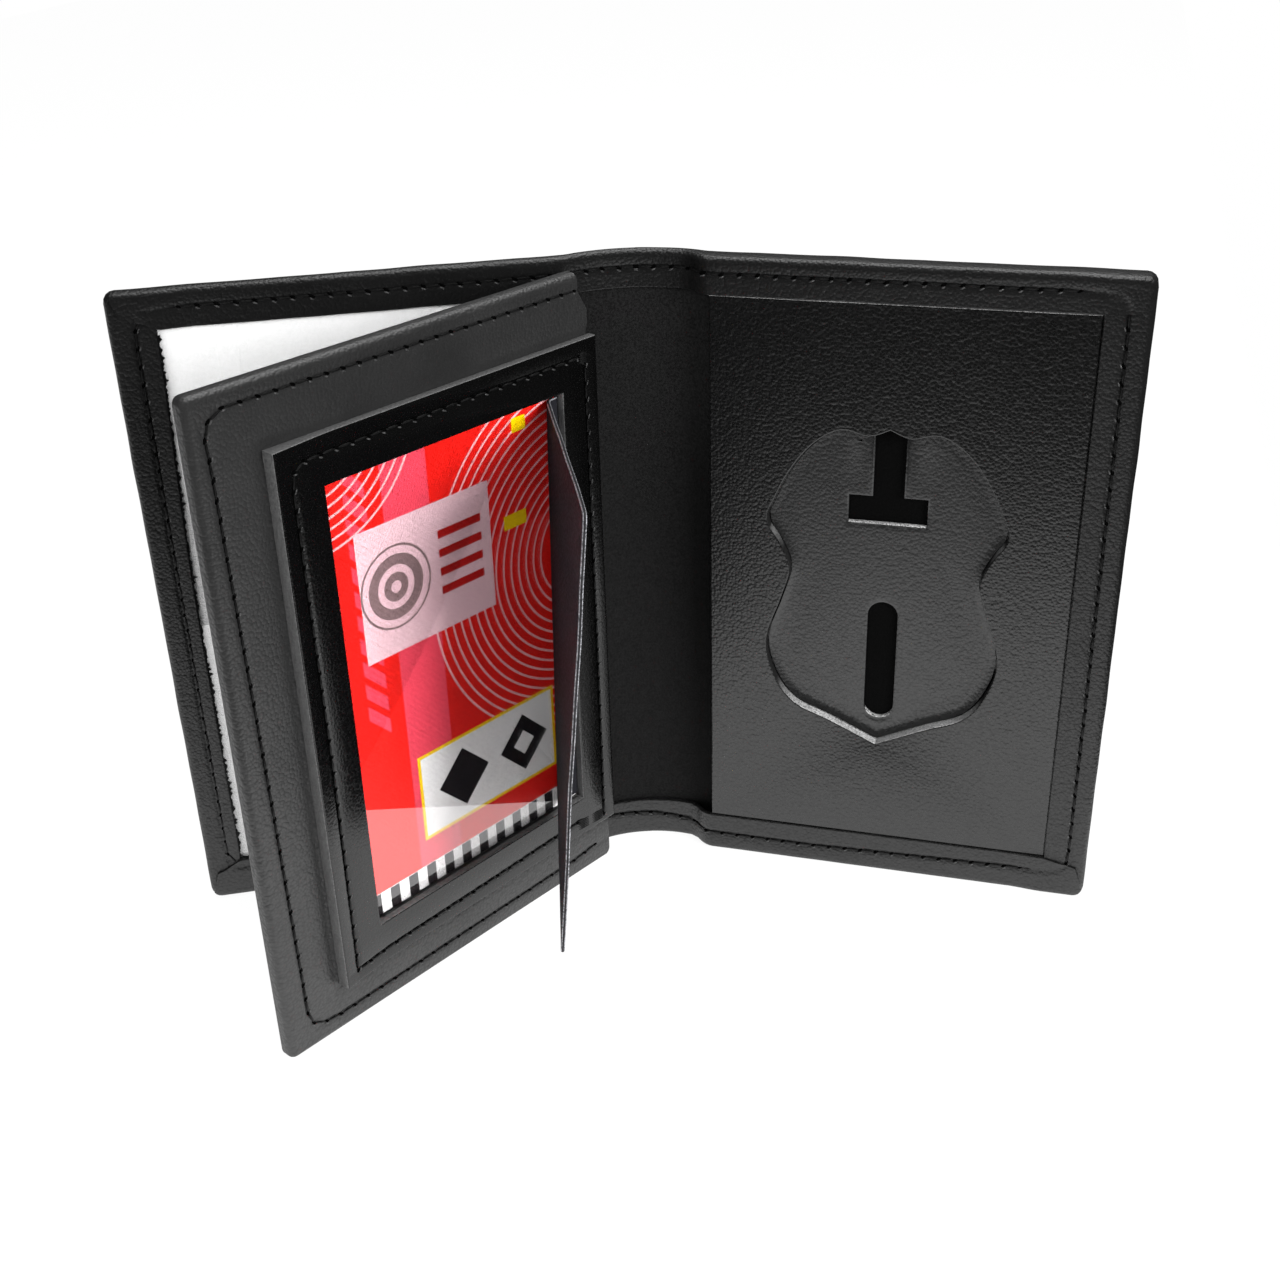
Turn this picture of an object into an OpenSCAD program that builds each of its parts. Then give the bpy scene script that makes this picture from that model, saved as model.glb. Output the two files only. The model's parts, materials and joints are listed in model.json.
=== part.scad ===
// Book-style badge and card wallet, standing open on its lower edges.
// Two turned-edge leather covers are joined by a bowed spine. A padded leaf hangs at the spine's
// far fold and holds a card behind a sewn window frame, with a thin flap over the window. The flap's
// root lies flat beside the window's edge, and the flap turns at a crease along it.
// The origin is the middle of the badge cover's standing edge. X runs along that cover to its
// outer edge, the inside of the wallet faces -Y, and Z is up.

/* [Covers] */
// Height of the covers as the wallet stands
cover_h = 114; // [108:1:124]
// Badge cover, from its fold to its outer edge
badge_cover_w = 70; // [66:1:80]
// Card cover, from its fold to its outer edge
id_cover_w = 72; // [70:1:82]
// Thickness of the cover leather
cover_leather_t = 0.9; // [0.7:0.05:1.1]
// Thickness of the thinned leather where an edge is turned in over the inside
hem_leather_t = 0.8; // [0.6:0.05:0.9]
// Width of the turned hem along the outer edges
side_hem_w = 7.4; // [6:0.1:8.5]
// Width of the turned hem along the top
top_hem_w = 6.2; // [5:0.1:8]
// Width of the turned hem along the foot
foot_hem_w = 7.8; // [6:0.1:8.5]
// Rounding of the turned edges
turned_edge_r = 1.1; // [0.6:0.1:1.3]
// Rounding of the covers' corners
cover_corner_r = 1.8; // [1:0.1:3]

/* [Spine] */
// Width of the spine between its two folds
spine_w = 22; // [20:0.5:26]
// How far the spine bows out between its folds
spine_bow = 3; // [1.4:0.1:3.6]
// Thickness of the spine's lining
spine_lining_t = 0.6; // [0.4:0.05:0.8]
// Gap round a fold between pieces that turn there
fold_gap = 0.25; // [0.2:0.05:0.4]

/* [Badge side] */
// Thickness of the badge cover's stiffener
badge_board_t = 0.4; // [0.3:0.05:0.6]
// Thickness of the cloth behind the badge slots
slot_lining_t = 0.3; // [0.2:0.05:0.4]
// Thickness of the leather that the badge lies on
badge_backing_t = 0.7; // [0.5:0.05:1]
// How far that leather stands up in the shield recess, where no panel presses it flat
seat_rise = 0.1; // [0.05:0.05:0.3]
// Gap between the raised seat and the wall of the recess
seat_fit = 0.3; // [0.1:0.1:0.6]
// Thickness of the padded badge panel
badge_panel_t = 2.1; // [1.6:0.1:2.6]
// Thickness of the panel's thinned margin under the hem
badge_margin_t = 1.5; // [1.1:0.1:1.8]
// Width of that margin under the hem
badge_margin_w = 4.5; // [3:0.1:5]
// Width of the shield recess
shield_w = 40.2; // [36:0.1:44]
// Height of the shield recess
shield_h = 59.5; // [54:0.5:64]
// Height of the shield's lower tip above the foot
shield_tip_z = 27.4; // [24:0.2:32]
// Distance of the shield's middle from the fold
shield_mid_u = 31.4; // [30:0.2:36]
// Width of the pin slots
pin_slot_w = 5.2; // [4.4:0.1:6]
// Length of the lower, round-ended slot
pin_slot_l = 22.8; // [18:0.2:26]
// Height of the lower slot's foot
pin_slot_z = 32; // [30:0.2:36]
// Length of the T-slot's crossbar
tee_bar_l = 13.2; // [10:0.2:16]
// Height of the T-slot's crossbar
tee_bar_h = 4.8; // [4.4:0.1:6]
// Height of the crossbar's lower edge above the foot
tee_bar_z = 69.6; // [66:0.2:74]
// Length of the T-slot's stem above the crossbar
tee_stem_l = 13; // [9:0.2:15]

/* [Card side] */
// Thickness of the card cover's stiffener
id_board_t = 0.5; // [0.3:0.05:0.6]
// Thickness of the lining behind the insert
id_lining_t = 0.2; // [0.15:0.05:0.3]
// Thickness of the blank insert sheet
insert_t = 0.3; // [0.2:0.05:0.4]
// How far the insert sheet reaches under the hems
insert_tuck = 2.4; // [1:0.1:4]
// Thickness of the clear window over the insert
id_film_t = 0.15; // [0.1:0.05:0.2]

/* [Leaf] */
// Distance of the leaf's outer edge from the fold
leaf_w = 76; // [72:1:84]
// Height of the leaf
leaf_h = 112.4; // [108:0.2:122]
// Thickness of the padded leaf
leaf_t = 3; // [2.8:0.1:3.6]
// Gap between the leaf's back and the card cover's hem when the two lie together
leaf_back_gap = 0.2; // [0.15:0.05:0.6]
// Thickness of the leaf's leather
leaf_leather_t = 0.8; // [0.6:0.05:1]
// Thickness of the leaf's thinned leather turned in over its back
leaf_hem_t = 0.5; // [0.35:0.05:0.6]
// Width of the turned hem on the leaf's back
leaf_hem_w = 5; // [4:0.2:6]
// Rounding of the leaf's turned edges
leaf_edge_r = 1.2; // [0.7:0.1:1.3]
// Rounding of the leaf's corners
leaf_corner_r = 2.6; // [1.6:0.1:4]
// Thickness of the leaf's back lining
leaf_lining_t = 0.4; // [0.3:0.05:0.5]
// Width of the relief notch in the leaf's top corner at the fold
notch_w = 1.4; // [0.8:0.1:2]
// Height of that notch
notch_h = 6.4; // [4:0.2:8]
// Thickness of the strip that hinges the leaf at the fold
hinge_strip_t = 0.5; // [0.4:0.05:0.6]
// Width of the strip's flange inside the leaf
hinge_flange_w = 6.5; // [5:0.1:6.8]
// Distance of the strip's ends from the leaf's top and foot
hinge_strip_inset = 6.4; // [4:0.2:10]

/* [Window] */
// Thickness of the sewn window frame
frame_t = 1.2; // [0.9:0.1:1.5]
// Width of the frame's border beside the spine
frame_border_spine = 6.6; // [6:0.1:8]
// Width of the frame's border beside the leaf's outer edge
frame_border_edge = 8.5; // [7:0.1:9.5]
// Width of the frame's borders above and below the window
frame_border_end = 7.7; // [6.5:0.1:8.5]
// Width of the window
window_w = 48.1; // [46:0.1:50]
// Height of the window
window_h = 77.6; // [74:0.2:80]
// Height of the window's lower edge above the foot
window_z = 16.7; // [15:0.1:18]
// Rounding of the frame's outer corners
frame_corner_r = 1; // [0.5:0.1:2]
// Rounding of the window's corners
window_corner_r = 1; // [0.5:0.1:2]
// Thickness of the clear window film
card_film_t = 0.2; // [0.1:0.05:0.25]
// How far the film reaches past the card on each side
film_margin = 1.5; // [1:0.1:2]
// Width of the card in the window
card_w = 54; // [53:0.1:54.4]
// Height of the card in the window
card_h = 85.6; // [84:0.1:86.4]
// Thickness of the card in the window
card_t = 0.5; // [0.3:0.05:0.6]
// Rounding of the card's corners
card_corner_r = 3; // [1:0.2:3.5]
// Clearance round the card in its pocket
card_fit = 0.3; // [0.2:0.05:0.5]

/* [Flap] */
// Thickness of the flap over the window
flap_t = 0.9; // [0.6:0.05:1]
// Clearance between the flap and the window's edges
flap_fit = 0.8; // [0.6:0.05:1.2]
// Width of the flap's root, which lies flat on the film beside the window's edge
flap_root_w = 2.65; // [1.5:0.05:3]
// Gap between the flap's crease and what it turns beside
flap_root_gap = 0.25; // [0.2:0.05:0.3]
// Rounding of the flap's free corners
flap_corner_r = 1.2; // [0.5:0.1:3]

/* [Pose] */
// Angle inside the fold between the badge cover and the spine
spine_angle = 164.5; // [90:0.5:180]
// Angle inside the fold between the spine and the leaf
leaf_angle = 132.5; // [90:0.5:172]
// Angle between the leaf and the card cover
id_cover_angle = 36.7; // [0.5:0.1:90]
// Angle of the flap from the leaf
flap_angle = 48.4; // [4.5:0.1:89]

/* [Hidden] */
$fn = 48;

// Overrun of every cut past the faces that it opens
over = 1;
// Fit of a layer inside the leather that wraps it
layer_fit = 0.1;

// Distances from the fold's axis plane, positive toward the inside of the wallet
spine_t = 2 * cover_leather_t + spine_lining_t;
back_v = -spine_t / 2;
leather_v = back_v + cover_leather_t;
slot_lining_v = leather_v + badge_board_t;
backing_v = slot_lining_v + slot_lining_t;
panel_v = backing_v + badge_backing_t;
panel_face_v = panel_v + badge_panel_t;
badge_hem_v = panel_v + badge_margin_t;
badge_top_v = badge_hem_v + hem_leather_t;
badge_mid_v = (back_v + badge_top_v) / 2;
id_lining_v = leather_v + id_board_t;
insert_v = id_lining_v + id_lining_t;
id_film_v = insert_v + insert_t;
id_hem_v = id_film_v + id_film_t;
id_top_v = id_hem_v + hem_leather_t;
leaf_v = id_top_v + leaf_back_gap;
leaf_lining_v = leaf_v + leaf_hem_t;
leaf_board_v = leaf_lining_v + leaf_lining_t;
leaf_face_v = leaf_v + leaf_t;
leaf_skin_v = leaf_face_v - leaf_leather_t;
card_film_v = leaf_skin_v - card_film_t;
card_v = card_film_v - card_t;
frame_face_v = leaf_face_v + frame_t;

// The window frame's outline
frame_w = frame_border_spine + window_w + frame_border_edge;
frame_h = window_h + 2 * frame_border_end;
frame_z = window_z - frame_border_end;

// Places along a panel, from its fold's axis
fold_r = spine_t / 2;
cover_start_u = fold_r + fold_gap;
strip_u = fold_r + fold_gap;
leaf_start_u = strip_u + hinge_strip_t + layer_fit;
id_start_u = strip_u + hinge_strip_t + fold_gap;
frame_u = strip_u + fold_gap;
window_u = frame_u + frame_border_spine;
card_u = window_u + (window_w - card_w) / 2;
card_z = window_z + (window_h - card_h) / 2;
board_start_u = strip_u + hinge_flange_w + layer_fit;
flap_axis_u = window_u + flap_root_w + flap_root_gap + flap_t / 2;
flap_axis_v = leaf_skin_v + flap_root_gap + flap_t / 2;
flap_w = window_u + window_w - flap_fit - flap_axis_u;
flap_z = window_z + flap_fit;
flap_h = window_h - 2 * flap_fit;

// The spine's arc: its middle surface passes through both folds
bow_r = (pow(spine_w / 2, 2) + pow(spine_bow, 2)) / (2 * spine_bow);
bow_angle = asin(spine_w / 2 / bow_r);
roll_angle = asin(fold_r / bow_r);
bow_in_r = bow_r - spine_t / 2;
bow_out_r = bow_r + spine_t / 2;

// Directions of the panels in plan
spine_dir = 360 - spine_angle;
leaf_dir = spine_dir + 180 - leaf_angle;
id_dir = leaf_dir - id_cover_angle;

// Knots of the shield's right half, from its top to its tip: shares of half the width and the height
shield_top_shares = [[0, 1], [0.174, 0.978], [0.398, 0.992], [0.627, 0.945], [0.826, 0.854], [1, 0.726]];
shield_ear_shares = [[1, 0.726], [0.985, 0.69], [0.915, 0.655]];
shield_side_shares = [[0.915, 0.655], [0.8, 0.565], [0.866, 0.464], [0.995, 0.319], [0.915, 0.198],
    [0.73, 0.114], [0.418, 0.067], [0, 0]];
// Points on each stretch between two knots
shield_steps = 4;

// A smooth curve through a run of knots, with its last point left out
function clamp_at(run, i) = run[max(0, min(len(run) - 1, i))];
function through(a, b, c, d, t) =
    0.5 * ((2 * b) + (c - a) * t + (2 * a - 5 * b + 4 * c - d) * t * t + (3 * b - a - 3 * c + d) * t * t * t);
function curve(run) = [for (i = [0 : len(run) - 2], s = [0 : shield_steps - 1])
    through(clamp_at(run, i - 1), run[i], run[i + 1], clamp_at(run, i + 2), s / shield_steps)];
shield_half = concat(curve(shield_top_shares), curve(shield_ear_shares), curve(shield_side_shares), [[0, 0]]);
shield_points = concat(
    [for (p = shield_half) [p[0] * shield_w / 2, p[1] * shield_h]],
    [for (i = [len(shield_half) - 2 : -1 : 1]) [-shield_half[i][0] * shield_w / 2, shield_half[i][1] * shield_h]]);

// A rectangle with round corners, made of true arcs
module round_rect(w, h, r) {
    translate([r, 0]) square([w - 2 * r, h]);
    translate([0, r]) square([w, h - 2 * r]);
    for (x = [r, w - r], y = [r, h - r]) translate([x, y]) circle(r);
}

// An upright slot with round ends, centred on x = 0 and standing on z = 0
module round_ended(w, l) {
    translate([-w / 2, w / 2]) square([w, l - w]);
    for (y = [w / 2, l - w / 2]) translate([0, y]) circle(d = w);
}

// A flat outline in X and Z, given a thickness along Y
module upright(y, t) {
    translate([0, y + t, 0]) rotate([90, 0, 0]) linear_extrude(t) children();
}

// A plain slab from x and y, upright on z
module slab(x, w, y, t, z, h) {
    translate([x, y, z]) cube([w, t, h]);
}

// A panel whose edges are turned round on its outer side, top and foot, but not at its fold
module turned_panel(x, w, y, t, h, edge_r, corner_r) {
    intersection() {
        upright(y, t) translate([-over, 0]) round_rect(w + over, h, corner_r);
        linear_extrude(h) translate([-over, y]) round_rect(w + over, t, edge_r);
        rotate([90, 0, 90]) linear_extrude(w) translate([y, 0]) round_rect(t, h, edge_r);
        slab(x, w, y, t, 0, h);
    }
}

// Cover leather: an outer sheet whose edges are turned in over the inside as hems
module cover_leather(w, top_v, start_u) {
    difference() {
        turned_panel(start_u, w, back_v, top_v - back_v, cover_h, turned_edge_r, cover_corner_r);
        slab(0, w - cover_leather_t, leather_v, top_v - hem_leather_t - leather_v,
            cover_leather_t, cover_h - 2 * cover_leather_t);
        slab(0, w - side_hem_w, leather_v, top_v + over - leather_v,
            foot_hem_w, cover_h - foot_hem_w - top_hem_w);
    }
}

// A layer that fills a cover's inside out to the turned edges
module cover_layer(start_u, w, v, t) {
    slab(start_u, w - cover_leather_t - layer_fit - start_u, v, t,
        cover_leather_t + layer_fit, cover_h - 2 * (cover_leather_t + layer_fit));
}

// The badge cover lies along X with its inside toward -Y
module on_badge_cover() {
    translate([-badge_cover_w / 2, badge_mid_v, 0]) mirror([0, 1, 0]) children();
}

// The spine turns about the badge cover's fold
module on_spine() {
    translate([-badge_cover_w / 2, badge_mid_v, 0]) rotate(spine_dir) children();
}

// The leaf and the card cover turn about the spine's other fold
module on_far_fold(angle) {
    on_spine() translate([spine_w, 0, 0]) rotate(angle - spine_dir) children();
}

module badge_cover_leather() {
    color("#1d1d1f") on_badge_cover() cover_leather(badge_cover_w, badge_top_v, cover_start_u);
}

module badge_cover_board() {
    color("#5a5148") on_badge_cover() cover_layer(cover_start_u, badge_cover_w, leather_v, badge_board_t);
}

module badge_slot_lining() {
    color("#101012") on_badge_cover() cover_layer(cover_start_u, badge_cover_w, slot_lining_v, slot_lining_t);
}

// The leather under the badge, raised where it shows, with a round-ended slot and a T-slot for its pins
module badge_backing() {
    seat_share = 1 - 2 * seat_fit / shield_w;
    color("#242426") on_badge_cover() difference() {
        union() {
            cover_layer(cover_start_u, badge_cover_w, backing_v, badge_backing_t);
            upright(backing_v, badge_backing_t + seat_rise)
                translate([shield_mid_u, shield_tip_z + shield_h / 2]) scale(seat_share)
                    translate([0, -shield_h / 2]) polygon(shield_points);
        }
        upright(backing_v - over, badge_backing_t + seat_rise + 2 * over) translate([shield_mid_u, 0]) {
            translate([0, pin_slot_z]) round_ended(pin_slot_w, pin_slot_l);
            translate([-tee_bar_l / 2, tee_bar_z]) square([tee_bar_l, tee_bar_h]);
            translate([-pin_slot_w / 2, tee_bar_z]) square([pin_slot_w, tee_bar_h + tee_stem_l]);
        }
    }
}

// The thick panel round the badge: its thinned margin goes under the hem, and it starts square at the fold
module badge_panel() {
    field_w = badge_cover_w - side_hem_w - layer_fit - cover_start_u;
    field_h = cover_h - foot_hem_w - top_hem_w - 2 * layer_fit;
    color("#28282a") on_badge_cover() difference() {
        union() {
            slab(cover_start_u, field_w, panel_v, badge_panel_t, foot_hem_w + layer_fit, field_h);
            slab(cover_start_u, field_w + badge_margin_w, panel_v, badge_margin_t,
                foot_hem_w + layer_fit - badge_margin_w, field_h + 2 * badge_margin_w);
        }
        upright(panel_v - over, badge_panel_t + 2 * over)
            translate([shield_mid_u, shield_tip_z]) polygon(shield_points);
    }
}

// A stretch of the bowed spine: its profile in radius and height, between two angles from its middle
module bowed(half_angle) {
    translate([spine_w / 2, bow_r - spine_bow, 0]) rotate(-90 - half_angle)
        rotate_extrude(angle = 2 * half_angle, $fn = 360) children();
}

// The spine's leather, turned in at the top and foot, with a round roll at each fold
module spine_leather() {
    color("#1d1d1f") on_spine() {
        difference() {
            bowed(bow_angle) translate([bow_in_r, 0]) round_rect(spine_t, cover_h, turned_edge_r);
            bowed(bow_angle - roll_angle) {
                translate([bow_in_r + cover_leather_t, cover_leather_t])
                    square([spine_lining_t, cover_h - 2 * cover_leather_t]);
                translate([bow_in_r - over, foot_hem_w])
                    square([cover_leather_t + spine_lining_t + over, cover_h - foot_hem_w - top_hem_w]);
            }
        }
        for (u = [0, spine_w]) translate([u, 0, 0]) cylinder(r = fold_r, h = cover_h);
    }
}

// The lining between the folds, tucked under the spine's hems
module spine_lining() {
    color("#161617") on_spine() bowed(bow_angle - roll_angle - asin(layer_fit / bow_r))
        translate([bow_in_r + cover_leather_t, cover_leather_t + layer_fit])
            square([spine_lining_t, cover_h - 2 * (cover_leather_t + layer_fit)]);
}

// Where the leaf's layers end at the fold: a round corner at the foot, and a notch in the top corner
module leaf_root() {
    translate([leaf_start_u, 0]) {
        translate([leaf_corner_r, 0]) square([leaf_w, leaf_h]);
        translate([0, leaf_corner_r]) square([leaf_w, leaf_h - notch_h - leaf_corner_r]);
        translate([notch_w, leaf_corner_r]) square([leaf_w, leaf_h - leaf_corner_r]);
        translate([leaf_corner_r, leaf_corner_r]) circle(leaf_corner_r);
    }
}

// A strip bent square: one side stands beside the fold's roll, the other lies inside the leaf
module leaf_hinge_strip() {
    strip_h = leaf_h - 2 * hinge_strip_inset;
    color("#202022") on_far_fold(leaf_dir) {
        slab(strip_u, hinge_strip_t, 0, leaf_board_v + hinge_strip_t, hinge_strip_inset, strip_h);
        slab(strip_u, hinge_flange_w, leaf_board_v, hinge_strip_t, hinge_strip_inset, strip_h);
    }
}

// The leaf's leather: a front sheet with the window cut in it, turned over three edges on to the back
module leaf_leather() {
    color("#1d1d1f") on_far_fold(leaf_dir) difference() {
        intersection() {
            turned_panel(leaf_start_u, leaf_w, leaf_v, leaf_t, leaf_h, leaf_edge_r, leaf_corner_r);
            upright(leaf_v - over, leaf_t + 2 * over) leaf_root();
        }
        slab(0, leaf_w - leaf_leather_t, leaf_lining_v, leaf_skin_v - leaf_lining_v,
            leaf_leather_t, leaf_h - 2 * leaf_leather_t);
        slab(0, leaf_w - leaf_hem_w, leaf_v - over, leaf_hem_t + 2 * over,
            leaf_hem_w, leaf_h - 2 * leaf_hem_w);
        upright(leaf_skin_v - over, leaf_leather_t + 2 * over)
            translate([window_u, window_z]) round_rect(window_w, window_h, window_corner_r);
    }
}

// A layer inside the leaf, out to its turned edges
module leaf_layer(start_u, v, t) {
    edge = leaf_leather_t + layer_fit;
    upright(v, t) intersection() {
        translate([start_u, edge]) square([leaf_w - edge - start_u, leaf_h - 2 * edge]);
        leaf_root();
    }
}

module leaf_lining() {
    color("#19191a") on_far_fold(leaf_dir) leaf_layer(leaf_start_u, leaf_lining_v, leaf_lining_t);
}

// The leaf's core, with the pocket that holds the card cut in its face
module leaf_board() {
    color("#5a5148") on_far_fold(leaf_dir) difference() {
        leaf_layer(board_start_u, leaf_board_v, card_film_v - leaf_board_v);
        slab(0, card_u + card_w + card_fit, card_v, card_t + over, card_z - card_fit, card_h + 2 * card_fit);
    }
}

module id_card() {
    color("#d2231d") on_far_fold(leaf_dir) upright(card_v, card_t)
        translate([card_u, card_z]) round_rect(card_w, card_h, card_corner_r);
}

module card_film() {
    color("#c8d2dc") on_far_fold(leaf_dir) slab(card_u - film_margin, card_w + 2 * film_margin,
        card_film_v, card_film_t, card_z - film_margin, card_h + 2 * film_margin);
}

// The sewn frame that stands up round the window
module window_frame() {
    color("#232325") on_far_fold(leaf_dir) upright(leaf_face_v, frame_t) difference() {
        translate([frame_u, frame_z]) round_rect(frame_w, frame_h, frame_corner_r);
        translate([window_u, window_z]) round_rect(window_w, window_h, window_corner_r);
    }
}

// The root of the flap, glued flat on the film
module flap_root() {
    color("#2b2b2d") on_far_fold(leaf_dir)
        slab(window_u + layer_fit, flap_root_w - layer_fit, leaf_skin_v, flap_t, flap_z, flap_h);
}

// The flap fits inside the window's edges when it is shut, and turns at the crease beside its root
module window_flap() {
    color("#2b2b2d") on_far_fold(leaf_dir) translate([flap_axis_u, flap_axis_v, flap_z])
        rotate(flap_angle) {
            cylinder(d = flap_t, h = flap_h);
            intersection() {
                slab(0, flap_w, -flap_t / 2, flap_t, 0, flap_h);
                upright(-flap_t / 2 - over, flap_t + 2 * over)
                    translate([-over - flap_corner_r, 0]) round_rect(flap_w + over + flap_corner_r, flap_h, flap_corner_r);
            }
        }
}

// The card cover starts clear of the leaf's strip
module id_cover_leather() {
    color("#1d1d1f") on_far_fold(id_dir) cover_leather(id_cover_w, id_top_v, id_start_u);
}

module id_cover_board() {
    color("#5a5148") on_far_fold(id_dir) cover_layer(id_start_u, id_cover_w, leather_v, id_board_t);
}

module id_cover_lining() {
    color("#161617") on_far_fold(id_dir) cover_layer(id_start_u, id_cover_w, id_lining_v, id_lining_t);
}

module insert_sheet() {
    sheet_z = foot_hem_w - insert_tuck;
    color("#f2f2f2") on_far_fold(id_dir) slab(id_start_u + insert_tuck,
        id_cover_w - side_hem_w - id_start_u, insert_v, insert_t,
        sheet_z, cover_h - top_hem_w + insert_tuck - sheet_z);
}

module id_cover_film() {
    color("#c8d2dc") on_far_fold(id_dir) cover_layer(id_start_u, id_cover_w, id_film_v, id_film_t);
}

badge_cover_leather();
badge_cover_board();
badge_slot_lining();
badge_backing();
badge_panel();
spine_leather();
spine_lining();
leaf_hinge_strip();
leaf_leather();
leaf_lining();
leaf_board();
id_card();
card_film();
window_frame();
flap_root();
window_flap();
id_cover_leather();
id_cover_board();
id_cover_lining();
insert_sheet();
id_cover_film();
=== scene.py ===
"""Book-style badge and card wallet in black leather, standing open.

Sizes are in millimetres, in the frame of the wallet's own panels: u runs along a panel from its fold,
v is the depth from the fold's axis toward the inside of the wallet, and z is the height.
"""

import json
import math

import bmesh
import bpy
from mathutils import Matrix, Vector
from mathutils.noise import noise


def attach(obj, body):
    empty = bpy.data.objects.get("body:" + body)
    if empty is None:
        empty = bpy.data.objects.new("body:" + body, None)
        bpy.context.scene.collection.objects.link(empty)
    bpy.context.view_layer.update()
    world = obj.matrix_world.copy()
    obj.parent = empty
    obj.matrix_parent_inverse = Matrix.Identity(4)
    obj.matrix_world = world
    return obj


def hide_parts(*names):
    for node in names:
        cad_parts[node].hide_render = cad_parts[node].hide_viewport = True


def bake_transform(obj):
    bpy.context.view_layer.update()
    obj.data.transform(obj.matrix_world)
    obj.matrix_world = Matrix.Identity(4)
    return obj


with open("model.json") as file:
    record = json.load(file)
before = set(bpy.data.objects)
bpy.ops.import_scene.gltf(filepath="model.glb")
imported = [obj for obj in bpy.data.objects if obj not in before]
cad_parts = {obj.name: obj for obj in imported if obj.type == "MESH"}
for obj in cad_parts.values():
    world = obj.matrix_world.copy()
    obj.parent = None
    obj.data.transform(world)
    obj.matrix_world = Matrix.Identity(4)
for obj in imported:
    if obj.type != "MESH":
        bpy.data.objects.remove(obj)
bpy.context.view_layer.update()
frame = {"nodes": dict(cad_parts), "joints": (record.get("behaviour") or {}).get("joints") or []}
SCENE = bpy.context.scene

# Metres in a millimetre, and how near two places count as one
MM = 0.001
EPS = 0.01

# Panels in plan: where each fold stands and the way each panel runs from it
JOINTS = {j["name"]: Vector(j["pos_m"]) / MM for j in frame["joints"]}
NEAR_FOLD = JOINTS["badge_fold"]
FAR_FOLD = JOINTS["leaf_fold"]
SPINE_DIR, LEAF_DIR, CARD_COVER_DIR = 195.5, 243, 206.3

COVER_H = 114
BADGE_COVER_W, CARD_COVER_W, SPINE_W = 70, 72, 22
SPINE_BOW = 3
LEATHER_T = 0.9
TOP_HEM, SIDE_HEM, FOOT_HEM = 6.2, 7.4, 7.8
CORNER_R, TURN_R, LIP_R = 1.8, 1.1, 0.15
# How much the card cover's side hem narrows toward the foot
CARD_TAPER = 1.3
# Reach of the bend on both sides of a fold, and where a page starts to thin toward it
FOLD_REACH, THIN_FROM = 1.6, -3
# Depths of a page's back, of the well inside its leather, and of its hem's underside and face
BADGE_STACK = (-1.2, -0.3, 2.6, 3.4)
CARD_STACK = (-1.2, -0.3, 0.85, 1.65)
SPINE_STACK = (-1.2, -0.3, 0.3, 1.2)

LEAF_W, LEAF_H, LEAF_START = 76, 112.4, 0.9
LEAF_BACK_V, LEAF_FACE_V = 1.85, 4.85
LEAF_CORNER, LEAF_ROLL, LEAF_BACK_ROLL, LEAF_HEM = 1.3, 1.2, 0.7, 5
LEAF_LEATHER_T = 0.78
NOTCH_U, NOTCH_Z, NOTCH_SLANT = 2.8, 109.5, 3.3
# How deep the frame presses the leaf beside it, over what width, and how far the leaf is scored
PRESS, PRESS_W, PRESS_SPAN = 0.45, 1.6, 2.4
LEAF_WAVER = 0.06
# Rectangles are low u, high u, low z and high z
WINDOW = (8.3, 56.4, 16.7, 94.3)
FRAME_RECT = (0.3, 64.9, 9, 102)
FRAME_FOOT_V, FRAME_FACE_V, FRAME_LIP = 4.55, 6.05, 0.22
# The frame's free end lifts by the curl, from this distance on, ever steeper
FRAME_CURL, CURL_FROM, CURL_POWER = 0.95, 54, 1.25
FLAP_FOOT, FLAP_HEAD, FLAP_LENGTH, FLAP_T = 17.5, 93.5, 47.6, 0.6
FLAP_ROOT_U, FLAP_FLAT_V, FLAP_BEND_R, FLAP_BEND_END = 8.45, 4.5, 2, 8
FLAP_CORNER, FLAP_RIM_W = 1.2, 0.15
# The flap's angle and its crease's distance from the root: at its foot, and what its head adds
FLAP_RISE, FLAP_CREASE = (45.2, 6.2), (4.6, -2.7)
# The flap's unevenness, and where it sets in
FLAP_WAVER, WAVER_SPAN = 0.25, (6, 20)

# A seam's groove, and the step that a mitre's fold makes in a hem
GROOVE, GROOVE_HALF = 0.26, 0.5
MITRE_STEP, MITRE_LIFT = 0.03, 0.4
# Stitches: their pitch, how deep the thread lies and wavers, its spare end, and its half width and height
PITCH = 2.9
THREAD_DEPTH, THREAD_SAG, THREAD_SPACE, THREAD_HALF, THREAD_HALF_T = 0.07, 0.02, 0.1, 0.22, 0.15
# Needle slits and the leather pulled up beside them, each with its depth and half sizes
SLIT_SLANT, SLIT_JITTER, SLIT_DEPTH, SLIT_HALF = 24, 0.12, 0.16, (0.6, 0.27, 0.2)
PULL_AWAY, PULL_DEPTH, PULL_HALF = 0.46, 0.14, (0.5, 0.15, 0.2)
# The way across a seam counts as level while it rises by less than this share
LEVEL = 0.3

# Spacing of the scored lines: beside seams, across folds, along the bow, beside the frame, on plain leather
FINE, FOLD_STEP, BOW_STEP, PRESS_STEP, COARSE = 0.3, 0.5, 0.7, 0.4, 2
# Plain leather beyond a rounding before the first scored line
MARGIN = 0.15
# Edges that bend by more than this are cut ones
SQUARE = 0.9

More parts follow.
